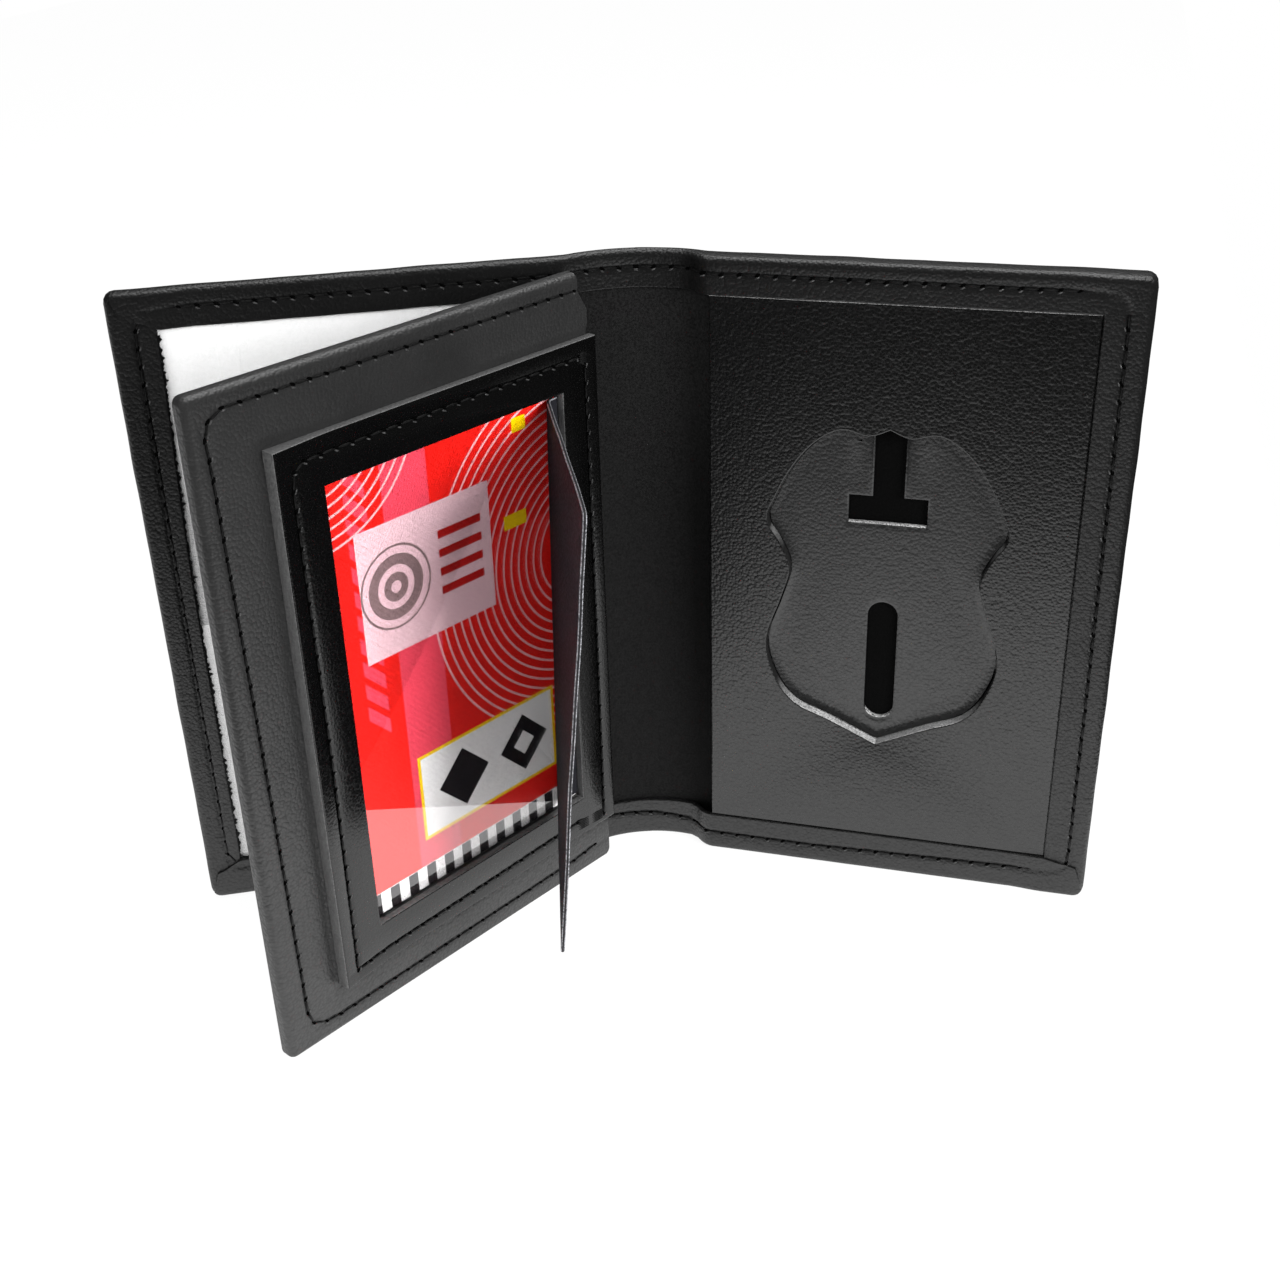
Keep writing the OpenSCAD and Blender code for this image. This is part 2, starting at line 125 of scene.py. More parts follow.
# Seams as (u, z) corners on the page they are sewn through
BADGE_ROUTE = [
    (-11, 111.2), (0, 111.3), (62.4, 111.3), (64.7, 110.7), (66.1, 109.5), (66.3, 107), (66.8, 8.5),
    (66.5, 6.6), (65, 5.4), (62, 4.9), (20, 3.7), (0, 3.8), (-6, 4.4), (-11, 4.9),
]
CARD_ROUTE = [
    (0, 111.2), (62, 111.1), (65.8, 110.7), (67.5, 109.4), (68, 107), (68, 9.5), (67.4, 7.4),
    (65.5, 6.3), (0, 5.4),
]
SPINE_ROUTES = [[(-11, 111.2), (0, 111.2)], [(-11, 4.9), (0, 5.4)]]
LEAF_ROUTE = [
    (3.4, 109.7), (71, 109.7), (73.7, 107.6), (73.3, 105.2), (72.3, 56), (71.6, 5.8), (70, 3.8),
    (66, 3.2), (10, 3.2), (4.6, 3.8),
]
FRAME_ROUTE = [
    (10, 12), (40, 11.5), (62.2, 11.2), (61.8, 50), (62.1, 96.6), (61.2, 99.2), (3, 99.2), (2.9, 50),
    (3, 10.4),
]
# Bartacks lock the frame's seam at its two corners by the fold
TACK_PITCH, TACK_THREAD, TACK_FACE_V = 0.36, 3.7, FRAME_FACE_V + 0.02
BARTACKS = [[(3, 9.9 + TACK_PITCH * i), (10.4, 10.5 + TACK_PITCH * i)] for i in range(6)]
BARTACKS += [[(2.3, 98.2 + TACK_PITCH * i), (4.6, 98.4 + TACK_PITCH * i)] for i in range(5)]

# A mitre is a hem's end, as the line along its mouth and the line across it, each with the hem on its left
BADGE_MITRES = [
    (((62.6, 108), (68.4, 108.3)), ((68.4, 108.3), (69.6, 113.8))),
    (((68.2, 6.4), (62.6, 7.7)), ((69.8, 1.5), (68.2, 6.4))),
]
CARD_MITRES = [
    (((64.6, 108), (70, 110.1)), ((70, 110.1), (71.2, 113.6))),
    (((70.3, 5.4), (64.6, 7.7)), ((71.8, 0.2), (70.3, 5.4))),
]

# Badge slots: the middle line, the slot feet whose upward faces get a painted highlight, and the spans with
# slots in them, each as low z, high z and half width
SLOT_X = -3.6
SLOT_FEET = ((69, 70, 7), (31.5, 33.4, 3))
SLOTS = ((68, 76, 8), (31, 90, 3.6))
# Rings inward from a rim: their width, the dip toward a slot and the rise toward the shield's wall
SEAT_RIMS = ((0.25, 0.14, 0.5), (0.3, 0.05, 0.37), (0.4, 0.01, 0.22), (0.4, 0, 0.07))
# That rise is full at the foot, fades over a height below a level and keeps a small share at the head
RISE_END_Z, RISE_FADE, LEAST_RISE = 78, 30, 0.15

# Placing: each of these takes a point of a page to its place in the wallet


def smooth(x, low, high):
    """A soft step from 0 at low to 1 at high."""
    t = min(1, max(0, (x - low) / (high - low)))
    return t * t * (3 - 2 * t)


def on_panel(fold, angle, u, v, z):
    """A point of a flat page that runs from a fold at an angle."""
    a = math.radians(angle)
    return Vector((fold.x + u * math.cos(a) - v * math.sin(a), fold.y + u * math.sin(a) + v * math.cos(a), z))


def on_badge(u, v, z):
    return Vector((NEAR_FOLD.x + u, NEAR_FOLD.y - v, z))


def on_leaf(u, v, z):
    return on_panel(FAR_FOLD, LEAF_DIR, u, v, z)


def on_card_cover(u, v, z):
    return on_panel(FAR_FOLD, CARD_COVER_DIR, u, v, z)


BOW_R = ((SPINE_W / 2) ** 2 + SPINE_BOW**2) / (2 * SPINE_BOW)
BOW_ANGLE = math.asin(SPINE_W / 2 / BOW_R)


def on_spine(u, v, z):
    """u runs from the near fold to the far one along the bowed spine."""
    a = BOW_ANGLE * (2 * u / SPINE_W - 1)
    reach = BOW_R - v
    u_flat, v_flat = SPINE_W / 2 + reach * math.sin(a), BOW_R - SPINE_BOW - reach * math.cos(a)
    return on_panel(NEAR_FOLD, SPINE_DIR, u_flat, v_flat, z)


def over_near_fold(u, v, z):
    """Badge cover at u above 0 and spine below it, eased into each other at the fold."""
    return on_spine(-u, v, z).lerp(on_badge(u, v, z), smooth(u, -FOLD_REACH, FOLD_REACH))


def over_far_fold(u, v, z):
    """Card cover at u above 0 and spine below it, eased alike."""
    return on_spine(SPINE_W + u, v, z).lerp(on_card_cover(u, v, z), smooth(u, -FOLD_REACH, FOLD_REACH))


def ladder(v, low, high):
    """Carries a depth from one stack of layers to another."""
    for a, b, c, d in zip(low, low[1:], high, high[1:]):
        if v <= b or b == low[-1]:
            return c + (v - a) * (d - c) / (b - a)


def to_spine(u, v, stack):
    """A page's depth, thinned to the spine's as the page nears its fold."""
    return v + (1 - smooth(u, THIN_FROM, FOLD_REACH)) * (ladder(v, stack, SPINE_STACK) - v)


# Mesh helpers


def finish_mesh(name, bm, mats, body=None, place=None, sharp=40):
    """Puts a mesh drawn in millimetres in its place and hands it to a body."""
    if place:
        for v in bm.verts:
            v.co = place(*v.co)
    bmesh.ops.recalc_face_normals(bm, faces=bm.faces)
    bmesh.ops.scale(bm, vec=(MM,) * 3, verts=bm.verts)
    mesh = bpy.data.meshes.new(name)
    bm.to_mesh(mesh)
    bm.free()
    mesh.polygons.foreach_set("use_smooth", [True] * len(mesh.polygons))
    mesh.set_sharp_from_angle(angle=math.radians(sharp))
    for m in mats:
        mesh.materials.append(m)
    obj = bpy.data.objects.new(name, mesh)
    SCENE.collection.objects.link(obj)
    if body:
        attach(obj, body)
    return obj


def region(faces):
    """Faces with their edges and corners."""
    return list({v for f in faces for v in f.verts} | {e for f in faces for e in f.edges} | set(faces))


def cut(bm, at, normal, faces=None):
    """Scores a straight line across the whole sheet, or across some of its faces."""
    geom = region(bm.faces if faces is None else faces)
    bmesh.ops.bisect_plane(bm, geom=geom, plane_co=at, plane_no=normal)


def cut_all(bm, us=(), zs=()):
    """Scores upright lines at us and level ones at zs."""
    for u in us:
        cut(bm, (u, 0, 0), (1, 0, 0))
    for z in zs:
        cut(bm, (0, 0, z), (0, 0, 1))


def stations(low, high, step):
    """Places between two ends, which stay out, about a step apart."""
    n = max(1, round((high - low) / step))
    return [low + (high - low) * i / n for i in range(1, n)]


def bevel(bm, edges, offset, segments):
    """Rounds edges."""
    shape = {"offset_type": "OFFSET", "profile": 0.5, "affect": "EDGES", "material": -1}
    bmesh.ops.bevel(bm, geom=edges, offset=offset, segments=segments, **shape)


def block(u0, u1, v0, v1, z0, z1):
    """A new mesh with one box in it."""
    bm = bmesh.new()
    bmesh.ops.create_cube(bm, size=1)
    bmesh.ops.scale(bm, vec=(u1 - u0, v1 - v0, z1 - z0), verts=bm.verts)
    bmesh.ops.translate(bm, vec=((u0 + u1) / 2, (v0 + v1) / 2, (z0 + z1) / 2), verts=bm.verts)
    return bm


def is_through(edge):
    """True for an edge that runs through the thickness."""
    return abs(edge.verts[0].co.y - edge.verts[1].co.y) > EPS


def flat_faces(bm, v, u0, u1, z0, z1):
    """Faces at depth v whose middle is inside a rectangle."""
    middles = [(f, f.calc_center_median()) for f in bm.faces]
    return [f for f, c in middles if abs(c.y - v) < EPS and u0 < c.x < u1 and z0 < c.z < z1]


def raised(made):
    """The corners that an extrusion made."""
    return [g for g in made["geom"] if isinstance(g, bmesh.types.BMVert)]


def sink(bm, faces, depth, spread=None):
    """Presses faces in by depth, or spreads them under their rim by a map of points."""
    made = bmesh.ops.extrude_face_region(bm, geom=region(faces))
    bmesh.ops.translate(bm, vec=(0, -depth, 0), verts=raised(made))
    if spread:
        for v in raised(made):
            v.co = spread(v.co)
    return [g for g in made["geom"] if isinstance(g, bmesh.types.BMFace)]


def open_end(bm, u):
    """Takes the wall off a plain end, where the next piece of leather carries on."""
    walls = [f for f in bm.faces if all(abs(v.co.x - u) < EPS for v in f.verts)]
    bmesh.ops.delete(bm, geom=walls, context="FACES")


def lip(bm, v, radius):
    """Rounds the rim of every opening in the face at depth v."""
    level = [e for e in bm.edges if not is_through(e) and abs(e.verts[0].co.y - v) < EPS]
    bevel(bm, [e for e in level if e.is_manifold and e.calc_face_angle() > SQUARE], radius, segments=2)


def press_groove(vert, routes):
    """Draws the leather in along its seams."""
    away = min(distance(r, vert.co.x, vert.co.z) for r in routes)
    vert.co.y -= GROOVE * math.exp(-((away / GROOVE_HALF) ** 2))


# Stitching


def distance(route, u, z):
    """How far a point is from a route of (u, z) corners."""
    best = math.inf
    for (au, az), (bu, bz) in zip(route, route[1:]):
        du, dz = bu - au, bz - az
        t = min(1, max(0, ((u - au) * du + (z - az) * dz) / (du * du + dz * dz)))
        best = min(best, math.hypot(u - au - t * du, z - az - t * dz))
    return best


def needle_holes(route, pitch):
    """Spots along a route, spread evenly at about the pitch."""
    legs = [math.dist(a, b) for a, b in zip(route, route[1:])]
    n = round(sum(legs) / pitch)
    spots = []
    for i in range(n + 1):
        left = sum(legs) * i / n
        for a, b, leg in zip(route, route[1:], legs):
            if left <= leg or b == route[-1]:
                spots.append(Vector(a).lerp(Vector(b), min(1, left / leg)))
                break
            left -= leg
    return spots


def bead(bm, at, along, half_sizes, slot):
    """A small faceted ellipsoid that lies along a way in (u, z)."""
    made = bmesh.ops.create_icosphere(bm, subdivisions=1, radius=1)["verts"]
    half_l, half_w, half_t = half_sizes
    side = Vector((-along.y, along.x))
    for v in made:
        flat = along * (v.co.x * half_l) + side * (v.co.y * half_w)
        v.co = at + Vector((flat.x, v.co.z * half_t, flat.y))
    for f in {f for v in made for f in v.link_faces}:
        f.material_index = slot


def pierce(bm, spot, ahead, face_v):
    """A slanted needle slit, a near-black bead that paints the shade inside the hole, with a rim of leather
    pulled up beside it, its light colour a painted highlight.
    """
    along = (ahead - spot).normalized()
    side = Vector((-along.y, along.x))
    if side.y > LEVEL or (abs(side.y) <= LEVEL and side.x > 0):
        side = -side
    along.rotate(Matrix.Rotation(math.radians(SLIT_SLANT), 2))
    jitter = SLIT_JITTER * noise(Vector((spot.x, spot.y, 5)))
    slit = spot + side * jitter
    half_l, half_w, half_t = SLIT_HALF
    # The slit is a near-black bead: painted shade inside the needle hole
    bead(bm, Vector((slit.x, face_v - SLIT_DEPTH, slit.y)), along, (half_l + jitter, half_w, half_t), 1)
    rim = slit + side * PULL_AWAY
    # The pulled rim's light colour is a painted highlight on real raised leather
    bead(bm, Vector((rim.x, face_v - PULL_DEPTH, rim.y)), along, PULL_HALF, 2)


def sew(name, routes, face_v, place, body=None, pitch=PITCH, pierced=True):
    """Lockstitch thread that is drawn into its groove, with its needle holes where they show."""
    bm = bmesh.new()
    for route in routes:
        spots = needle_holes(route, pitch)
        for a, b in zip(spots, spots[1:]):
            mid = (a + b) / 2
            depth = THREAD_DEPTH - THREAD_SAG * noise(Vector((mid.x, mid.y, 0)))
            half_sizes = ((b - a).length / 2 - THREAD_SPACE, THREAD_HALF, THREAD_HALF_T)
            bead(bm, Vector((mid.x, face_v - depth, mid.y)), (b - a).normalized(), half_sizes, 0)
        if pierced:
            for spot, ahead in zip(spots, spots[1:] + spots[-2:-1]):
                pierce(bm, spot, ahead, face_v)
    return finish_mesh(name, bm, [THREAD, HOLE_SHADE, PULLED_RIM_HIGHLIGHT], body, place, sharp=80)


# Materials


def linear(hex_text):
    """sRGB hex to linear colour."""
    out = []
    for i in (1, 3, 5):
        c = int(hex_text[i : i + 2], 16) / 255
        out.append(c / 12.92 if c <= 0.04045 else ((c + 0.055) / 1.055) ** 2.4)
    return (*out, 1)


def node(tree, kind, settings=None, **inputs):
    """Adds a shader node. An input is a value or a socket; input numbers are written i0, i1 and so on."""
    n = tree.nodes.new("ShaderNode" + kind)
    for key, value in (settings or {}).items():
        setattr(n, key, value)
    for key, value in inputs.items():
        by_number = key[0] == "i" and key[1:].isdigit()
        socket = n.inputs[int(key[1:]) if by_number else key.replace("_", " ")]
        if isinstance(value, bpy.types.NodeSocket):
            tree.links.new(value, socket)
        else:
            socket.default_value = value
    return n


def calc(tree, operation, *values):
    """A sum, product or test of values and sockets."""
    inputs = {f"i{i}": value for i, value in enumerate(values)}
    return node(tree, "Math", {"operation": operation}, **inputs).outputs[0]


def mix_colour(tree, share, first, second):
    """The first colour, or the second where the share is 1."""
    return node(tree, "Mix", {"data_type": "RGBA"}, i0=share, i6=first, i7=second).outputs[2]


def mix_shader(tree, share, first, second):
    """The first shader, or the second where the share is 1."""
    return node(tree, "MixShader", i0=share, i1=first, i2=second).outputs[0]


def new_material(name):
    """An empty material, its node tree and the point that is shaded, in metres."""
    mat = bpy.data.materials.new(name)
    mat.use_nodes = True
    mat.node_tree.nodes.clear()
    return mat, mat.node_tree, node(mat.node_tree, "TexCoord").outputs["Object"]


def surface(tree, shader):
    """Sets what the material's surface shows."""
    node(tree, "OutputMaterial", Surface=shader)


def coated(mat, tree, tone, rough, height, depth, shine):
    """Gives a material its colour, its gloss and its dents, and hands it back."""
    dent = node(tree, "Bump", Height=height, Distance=depth * MM, Strength=1.0).outputs["Normal"]
    gloss = {"Roughness": rough, "Specular_IOR_Level": shine}
    skin = node(tree, "BsdfPrincipled", Base_Color=tone, Normal=dent, **gloss)
    surface(tree, skin.outputs[0])
    return mat


# Grain: the size of pores beside pebbles, the height of both, and how roughness strays from its mean
PORE_SHARE, PORE_HEIGHT, PEBBLE_HEIGHT = 0.6, 0.12, -1.4
SMOOTHER, ROUGHER = 0.05, 0.08


def leather(name, dark, light, rough, shine, grain_mm, grain_depth):
    """Chrome-tanned hide with a pigment finish: pebbles of grain under a thin satin coat."""
    mat, tree, where = new_material(name)
    cells = node(tree, "TexVoronoi", Vector=where, Scale=1 / (grain_mm * MM), Randomness=0.9)
    pore = node(tree, "TexNoise", Vector=where, Scale=1 / (grain_mm * MM * PORE_SHARE), Detail=1.0)
    cloud = node(tree, "TexNoise", Vector=where, Scale=90.0, Detail=3.0, Roughness=0.55)
    tone = mix_colour(tree, cloud.outputs["Fac"], linear(dark), linear(light))
    dome = calc(tree, "MULTIPLY", cells.outputs["Distance"], cells.outputs["Distance"])
    pebble = calc(tree, "MULTIPLY", dome, PEBBLE_HEIGHT)
    height = calc(tree, "MULTIPLY_ADD", pore.outputs["Fac"], PORE_HEIGHT, pebble)
    ends = {"From_Min": 0.0, "From_Max": 0.4, "To_Min": rough - SMOOTHER, "To_Max": rough + ROUGHER}
    spread = node(tree, "MapRange", Value=dome, **ends).outputs["Result"]
    return coated(mat, tree, tone, spread, height, grain_depth, shine)


def matt(name, dark, light, rough, scale_mm, depth, shine, shaded_tone=None):
    """A dry surface with a fine speckle, such as cloth, paper, thread or a raw edge.

    An edge with a shaded tone shows that tone where it faces sideways or down, and its speckle where it faces
    up: painted shade and painted light, as if lit from above.
    """
    mat, tree, where = new_material(name)
    grit = node(tree, "TexNoise", Vector=where, Scale=1 / (scale_mm * MM), Detail=2.0, Roughness=0.65)
    ramp = node(tree, "MapRange", Value=grit.outputs["Fac"], From_Min=0.35, From_Max=0.65)
    tone = mix_colour(tree, ramp.outputs["Result"], linear(dark), linear(light))
    if shaded_tone:
        # Painted light: faces turned up get the speckle, faces turned sideways or down the shaded tone
        facing = node(tree, "NewGeometry").outputs["Normal"]
        upward = node(tree, "SeparateXYZ", Vector=facing).outputs["Z"]
        painted_top_light = node(tree, "MapRange", Value=upward, From_Min=0.45, From_Max=0.95)
        tone = mix_colour(tree, painted_top_light.outputs["Result"], linear(shaded_tone), tone)
    return coated(mat, tree, tone, rough, grit.outputs["Fac"], depth, shine)


def clear_vinyl(name, ior, rough):
    """Soft PVC film: see-through, with the floor mirrored in it, and no shade on what it covers."""
    mat, tree, where = new_material(name)
    ripple = node(tree, "TexNoise", Vector=where, Scale=25.0, Detail=1.0)
    bump = node(tree, "Bump", Height=ripple.outputs["Fac"], Distance=0.12 * MM, Strength=1.0)
    dent = bump.outputs["Normal"]
    mirrored = node(tree, "Fresnel", IOR=ior, Normal=dent).outputs[0]
    gloss = node(tree, "BsdfAnisotropic", Color=(1, 1, 1, 1), Roughness=rough, Normal=dent)
    through = node(tree, "BsdfTransparent", Color=(1, 1, 1, 1)).outputs[0]
    path = node(tree, "LightPath")
    lighting = calc(tree, "MAXIMUM", path.outputs["Is Shadow Ray"], path.outputs["Is Diffuse Ray"])
    surface(tree, mix_shader(tree, lighting, mix_shader(tree, mirrored, through, gloss.outputs[0]), through))
    return mat


CARD_RED, CARD_DARK_RED, CARD_PINK = "#ef1c14", "#c11410", "#f0485c"
CARD_LINE, CARD_PALE = "#f7b3b8", "#f2c9d1"
CARD_GREY, CARD_YELLOW, CARD_WHITE, CARD_BLACK = "#8a7072", "#ffd400", "#f4f2f2", "#1e191c"


def card_print():
    """A plain printed card: red, with rings, bands, two panels with plain marks and a checked strip.

    Places are in millimetres on the leaf: a box is low u, high u, low z and high z, and rings are a
    centre, least and greatest radius, pitch and half a line's width.
    """
    mat, tree, where = new_material("printed_card")
    origin = on_leaf(0, 0, 0)
    turn = math.radians(-LEAF_DIR)
    shift = Matrix.Rotation(turn, 3, "Z") @ -origin
    turned = {"Location": tuple(shift), "Rotation": (0, 0, turn), "Scale": (1 / MM,) * 3}
    on_page = node(tree, "Mapping", Vector=where, **turned).outputs[0]
    flat = node(tree, "VectorMath", {"operation": "MULTIPLY"}, i0=on_page, i1=(1, 0, 1)).outputs[0]
    axes = node(tree, "SeparateXYZ", Vector=flat)
    u, z = axes.outputs["X"], axes.outputs["Z"]

    def band(value, middle, half):
        """1 where the value is near the middle."""
        return calc(tree, "COMPARE", value, middle, half)

    def spread_of(cu, cz):
        """Distance along both axes added up, which draws a rhombus."""
        sides = [calc(tree, "ABSOLUTE", calc(tree, "SUBTRACT", axis, c)) for axis, c in ((u, cu), (z, cz))]
        return calc(tree, "ADD", *sides)

    def span(value, low, high):
        """1 where the value is between two ends."""
        return band(value, (low + high) / 2, (high - low) / 2)

    def box(u0, u1, z0, z1):
        """1 inside a rectangle."""
        return calc(tree, "MULTIPLY", span(u, u0, u1), span(z, z0, z1))

    def spots(value, pitch, half):
        """Repeats a mark along an axis."""
        return band(calc(tree, "MODULO", value, pitch), pitch / 2, half)

    def rings(cu, cz, low, high, pitch, half):
        """Thin lines round a centre, between two radii."""
        away = node(tree, "VectorMath", {"operation": "DISTANCE"}, i0=flat, i1=(cu, 0, cz)).outputs["Value"]
        return calc(tree, "MULTIPLY", spots(away, pitch, half), span(away, low, high))

    paint = linear(CARD_RED)

    def lay(mask, colour):
        """Prints a colour over what is there."""
        nonlocal paint
        paint = mix_colour(tree, mask, paint, linear(colour))

    # Bands, one plain and one of slanting dashes
    lay(box(36, 45, 4, 110), CARD_PINK)
    slant = calc(tree, "SUBTRACT", z, u)
    lay(calc(tree, "MULTIPLY", box(48, 52, 4, 110), spots(slant, 4, 1.3)), CARD_PINK)
    # Fine rings in two corners
    lay(rings(4, 66, 8, 34, 1.7, 0.2), CARD_LINE)
    lay(rings(58, 104, 6, 22, 1.7, 0.2), CARD_LINE)
    # A pale panel with a target and bars
    lay(box(24, 51, 62, 84), CARD_PALE)
    lay(rings(44, 73, 1, 7, 3, 0.9), CARD_GREY)
    lay(calc(tree, "MULTIPLY", box(26, 35, 67, 80), spots(z, 3.2, 0.7)), CARD_DARK_RED)
    # Two small marks
    lay(box(16, 21, 74, 76.5), CARD_YELLOW)
    lay(box(15, 18, 90, 92.4), CARD_YELLOW)
    # A white panel with a border and two rhombuses, one of them hollow
    lay(box(12.4, 43.6, 25.4, 41.6), CARD_YELLOW)
    lay(box(13, 43, 26, 41), CARD_WHITE)
    lay(band(spread_of(34, 33.5), 0, 5.6), CARD_BLACK)
    lay(band(spread_of(20, 33.5), 0, 5.6), CARD_BLACK)
    lay(band(spread_of(20, 33.5), 0, 2.4), CARD_WHITE)
    # A checked strip of two rows, the upper one shifted by a square
    square, middle_z, upper_z = 2, 16.5, 18.5
    lay(box(4, 60, 12, 20.6), CARD_WHITE)
    shift_u = calc(tree, "MULTIPLY_ADD", band(z, upper_z, square), square, u)
    columns = band(calc(tree, "MODULO", shift_u, 2 * square), square / 2, square / 2)
    lay(calc(tree, "MULTIPLY", band(z, middle_z, 2 * square), columns), CARD_BLACK)
    grit = node(tree, "TexNoise", Vector=where, Scale=9000.0, Detail=1.0)
    return coated(mat, tree, paint, 0.45, grit.outputs["Fac"], 0.002, 0.5)


# Hides: two tones, roughness, shine, and the grain's size and depth in millimetres
COVER_HIDE = leather("smooth_cowhide", "#060606", "#0c0c0c", 0.44, 0.85, 0.55, 0.07)
LEAF_HIDE = leather("soft_cowhide", "#121212", "#1c1c1c", 0.46, 1.0, 0.55, 0.065)
PANEL_HIDE = leather("pebbled_cowhide", "#030303", "#060606", 0.29, 1.0, 0.55, 0.045)
SEAT_HIDE = leather("pressed_cowhide", "#0c0c0c", "#111111", 0.32, 1.0, 0.55, 0.035)
FRAME_HIDE = leather("glazed_cowhide", "#020202", "#040404", 0.2, 0.75, 0.5, 0.015)
FLAP_HIDE = leather("thin_split_hide", "#101013", "#19191c", 0.6, 0.1, 0.5, 0.05)
# Dry surfaces: two tones, roughness, the speckle's size and depth in millimetres, and shine
# The pulled rims are lighter than the hide: a painted highlight on real raised leather
PULLED_RIM_HIGHLIGHT = matt("pulled_rim_painted_highlight", "#0c0c0c", "#3a3a3a", 0.32, 0.3, 0.02, 1.0)
# The cut edge is painted light grey where it faces up and painted dark where it faces sideways or down, as if
# lit from above
RAW_EDGE = matt("cut_edge_painted_top_light", "#484848", "#a0a0a0", 0.4, 0.3, 0.03, 0.8, "#141414")
# Slot feet: their upward faces are painted bright, a painted highlight
SLOT_RIM_HIGHLIGHT = matt("slot_rim_painted_highlight", "#242424", "#8c8c8c", 0.3, 0.25, 0.03, 1.0)
FRAME_EDGE = matt("frame_cut_edge", "#2c2c2c", "#4c4c4c", 0.45, 0.3, 0.03, 0.8)
FLAP_EDGE = matt("dark_thin_edge", "#0c0c0d", "#202022", 0.6, 0.3, 0.04, 0.15)
# The flap's bevelled rims get a light speckle, partly the edge's own speckle, its lightness a painted
# highlight
FLAP_RIM_HIGHLIGHT = matt("flap_rim_painted_highlight", "#121214", "#7c7c80", 0.4, 0.35, 0.04, 0.5)
LINING = matt("lining_cloth", "#080808", "#121212", 0.85, 0.35, 0.03, 0.2)
# The slot cloth is darker than the other lining: painted shade inside the slots
SLOT_CLOTH_SHADED = matt("slot_cloth_painted_shade", "#020202", "#040404", 0.95, 0.35, 0.02, 0.1)
THREAD = matt("waxed_thread", "#040404", "#0c0c0c", 0.6, 0.3, 0.02, 0.4)
# The needle holes are near-black beads: painted shade inside the holes
HOLE_SHADE = matt("needle_hole_painted_shade", "#010101", "#030303", 0.95, 0.5, 0.0, 0.0)
PAPER = matt("blank_card_stock", "#bebebe", "#c4c4c4", 0.6, 0.5, 0.005, 0.3)
BOARD = matt("grey_board", "#5a5148", "#6c6358", 0.8, 0.5, 0.02, 0.2)
VINYL = clear_vinyl("clear_vinyl", ior=2.6, rough=0.02)
PRINT = card_print()

# Covers and spine


def turned_blank(u0, u1, v0, v1, height):
    """A board wrapped in leather, with round corners and turned edges but a plain end at u0."""
    bm = block(u0, u1, v0, v1, 0, height)
    bevel(bm, [e for e in bm.edges if is_through(e) and e.verts[0].co.x > u1 - EPS], CORNER_R, segments=4)
    turned = [e for e in bm.edges if not is_through(e) and max(v.co.x for v in e.verts) > u0 + EPS]
    bevel(bm, turned, TURN_R, segments=4)
    return bm


def hollow(bm, low, side, inner_u, stack):
    """Opens the hems' mouth, from low to side, and the well under them, out to the turned edges."""
    _, well, hem, top = stack
    mouth_h = COVER_H - TOP_HEM - FOOT_HEM

    def spread(p):
        u = low + (p.x - low) * (inner_u - low) / (side - low)
        return Vector((u, p.y, LEATHER_T + (p.z - FOOT_HEM) * (COVER_H - 2 * LEATHER_T) / mouth_h))

    mouth = flat_faces(bm, top, low - 1, side, FOOT_HEM, COVER_H - TOP_HEM)
    floor = sink(bm, mouth, top - hem)
    floor = sink(bm, floor, 0, spread)
    sink(bm, floor, hem - well)
    open_end(bm, low)


def left_of(line, u, z):
    """Distance of a point to the left of a line."""
    (au, az), (bu, bz) = line
    return ((bu - au) * (z - az) - (bz - az) * (u - au)) / math.dist(*line)


# Where a page is scored closely along its seams: at its foot, at its top and in from its outer edge
FOOT_SEAM, TOP_SEAM, SIDE_SEAM = (2.8, 6.6), (COVER_H - 4.4, COVER_H - 1.8), (5, 2.6)
# Where it is scored across its near fold and up its plain middle
FOLD_SPAN, PLAIN_ROWS = (-2, 3), (8, 109)
HEM_ROWS = stations(*FOOT_SEAM, FINE) + stations(*TOP_SEAM, FINE)
HEM_ROWS += [TURN_R + MARGIN, FOOT_HEM - LIP_R - MARGIN]
HEM_ROWS += [COVER_H - TOP_HEM + LIP_R + MARGIN, COVER_H - TURN_R - MARGIN]
# Corners this near a face move with it
FACE_DEPTH = 0.5
# A mitre's lines are scored in the hems this far in from the side hem, and above and below their start
MITRE_IN, MITRE_REACH = 2, 10
# Unevenness of the hems' face, the top edge and the outer edge, and how far in it fades
HEM_WAVER, TOP_WAVER, SIDE_WAVER, WAVER_IN = 0.05, 0.15, 0.12, 6
# The taper moves the hem's inner edge and fades out over this width
TAPER_W = 5


def toward_foot(z):
    """From 0 at a page's top to 1 over its lower half."""
    return 1 - smooth(z, COVER_H / 2, COVER_H)


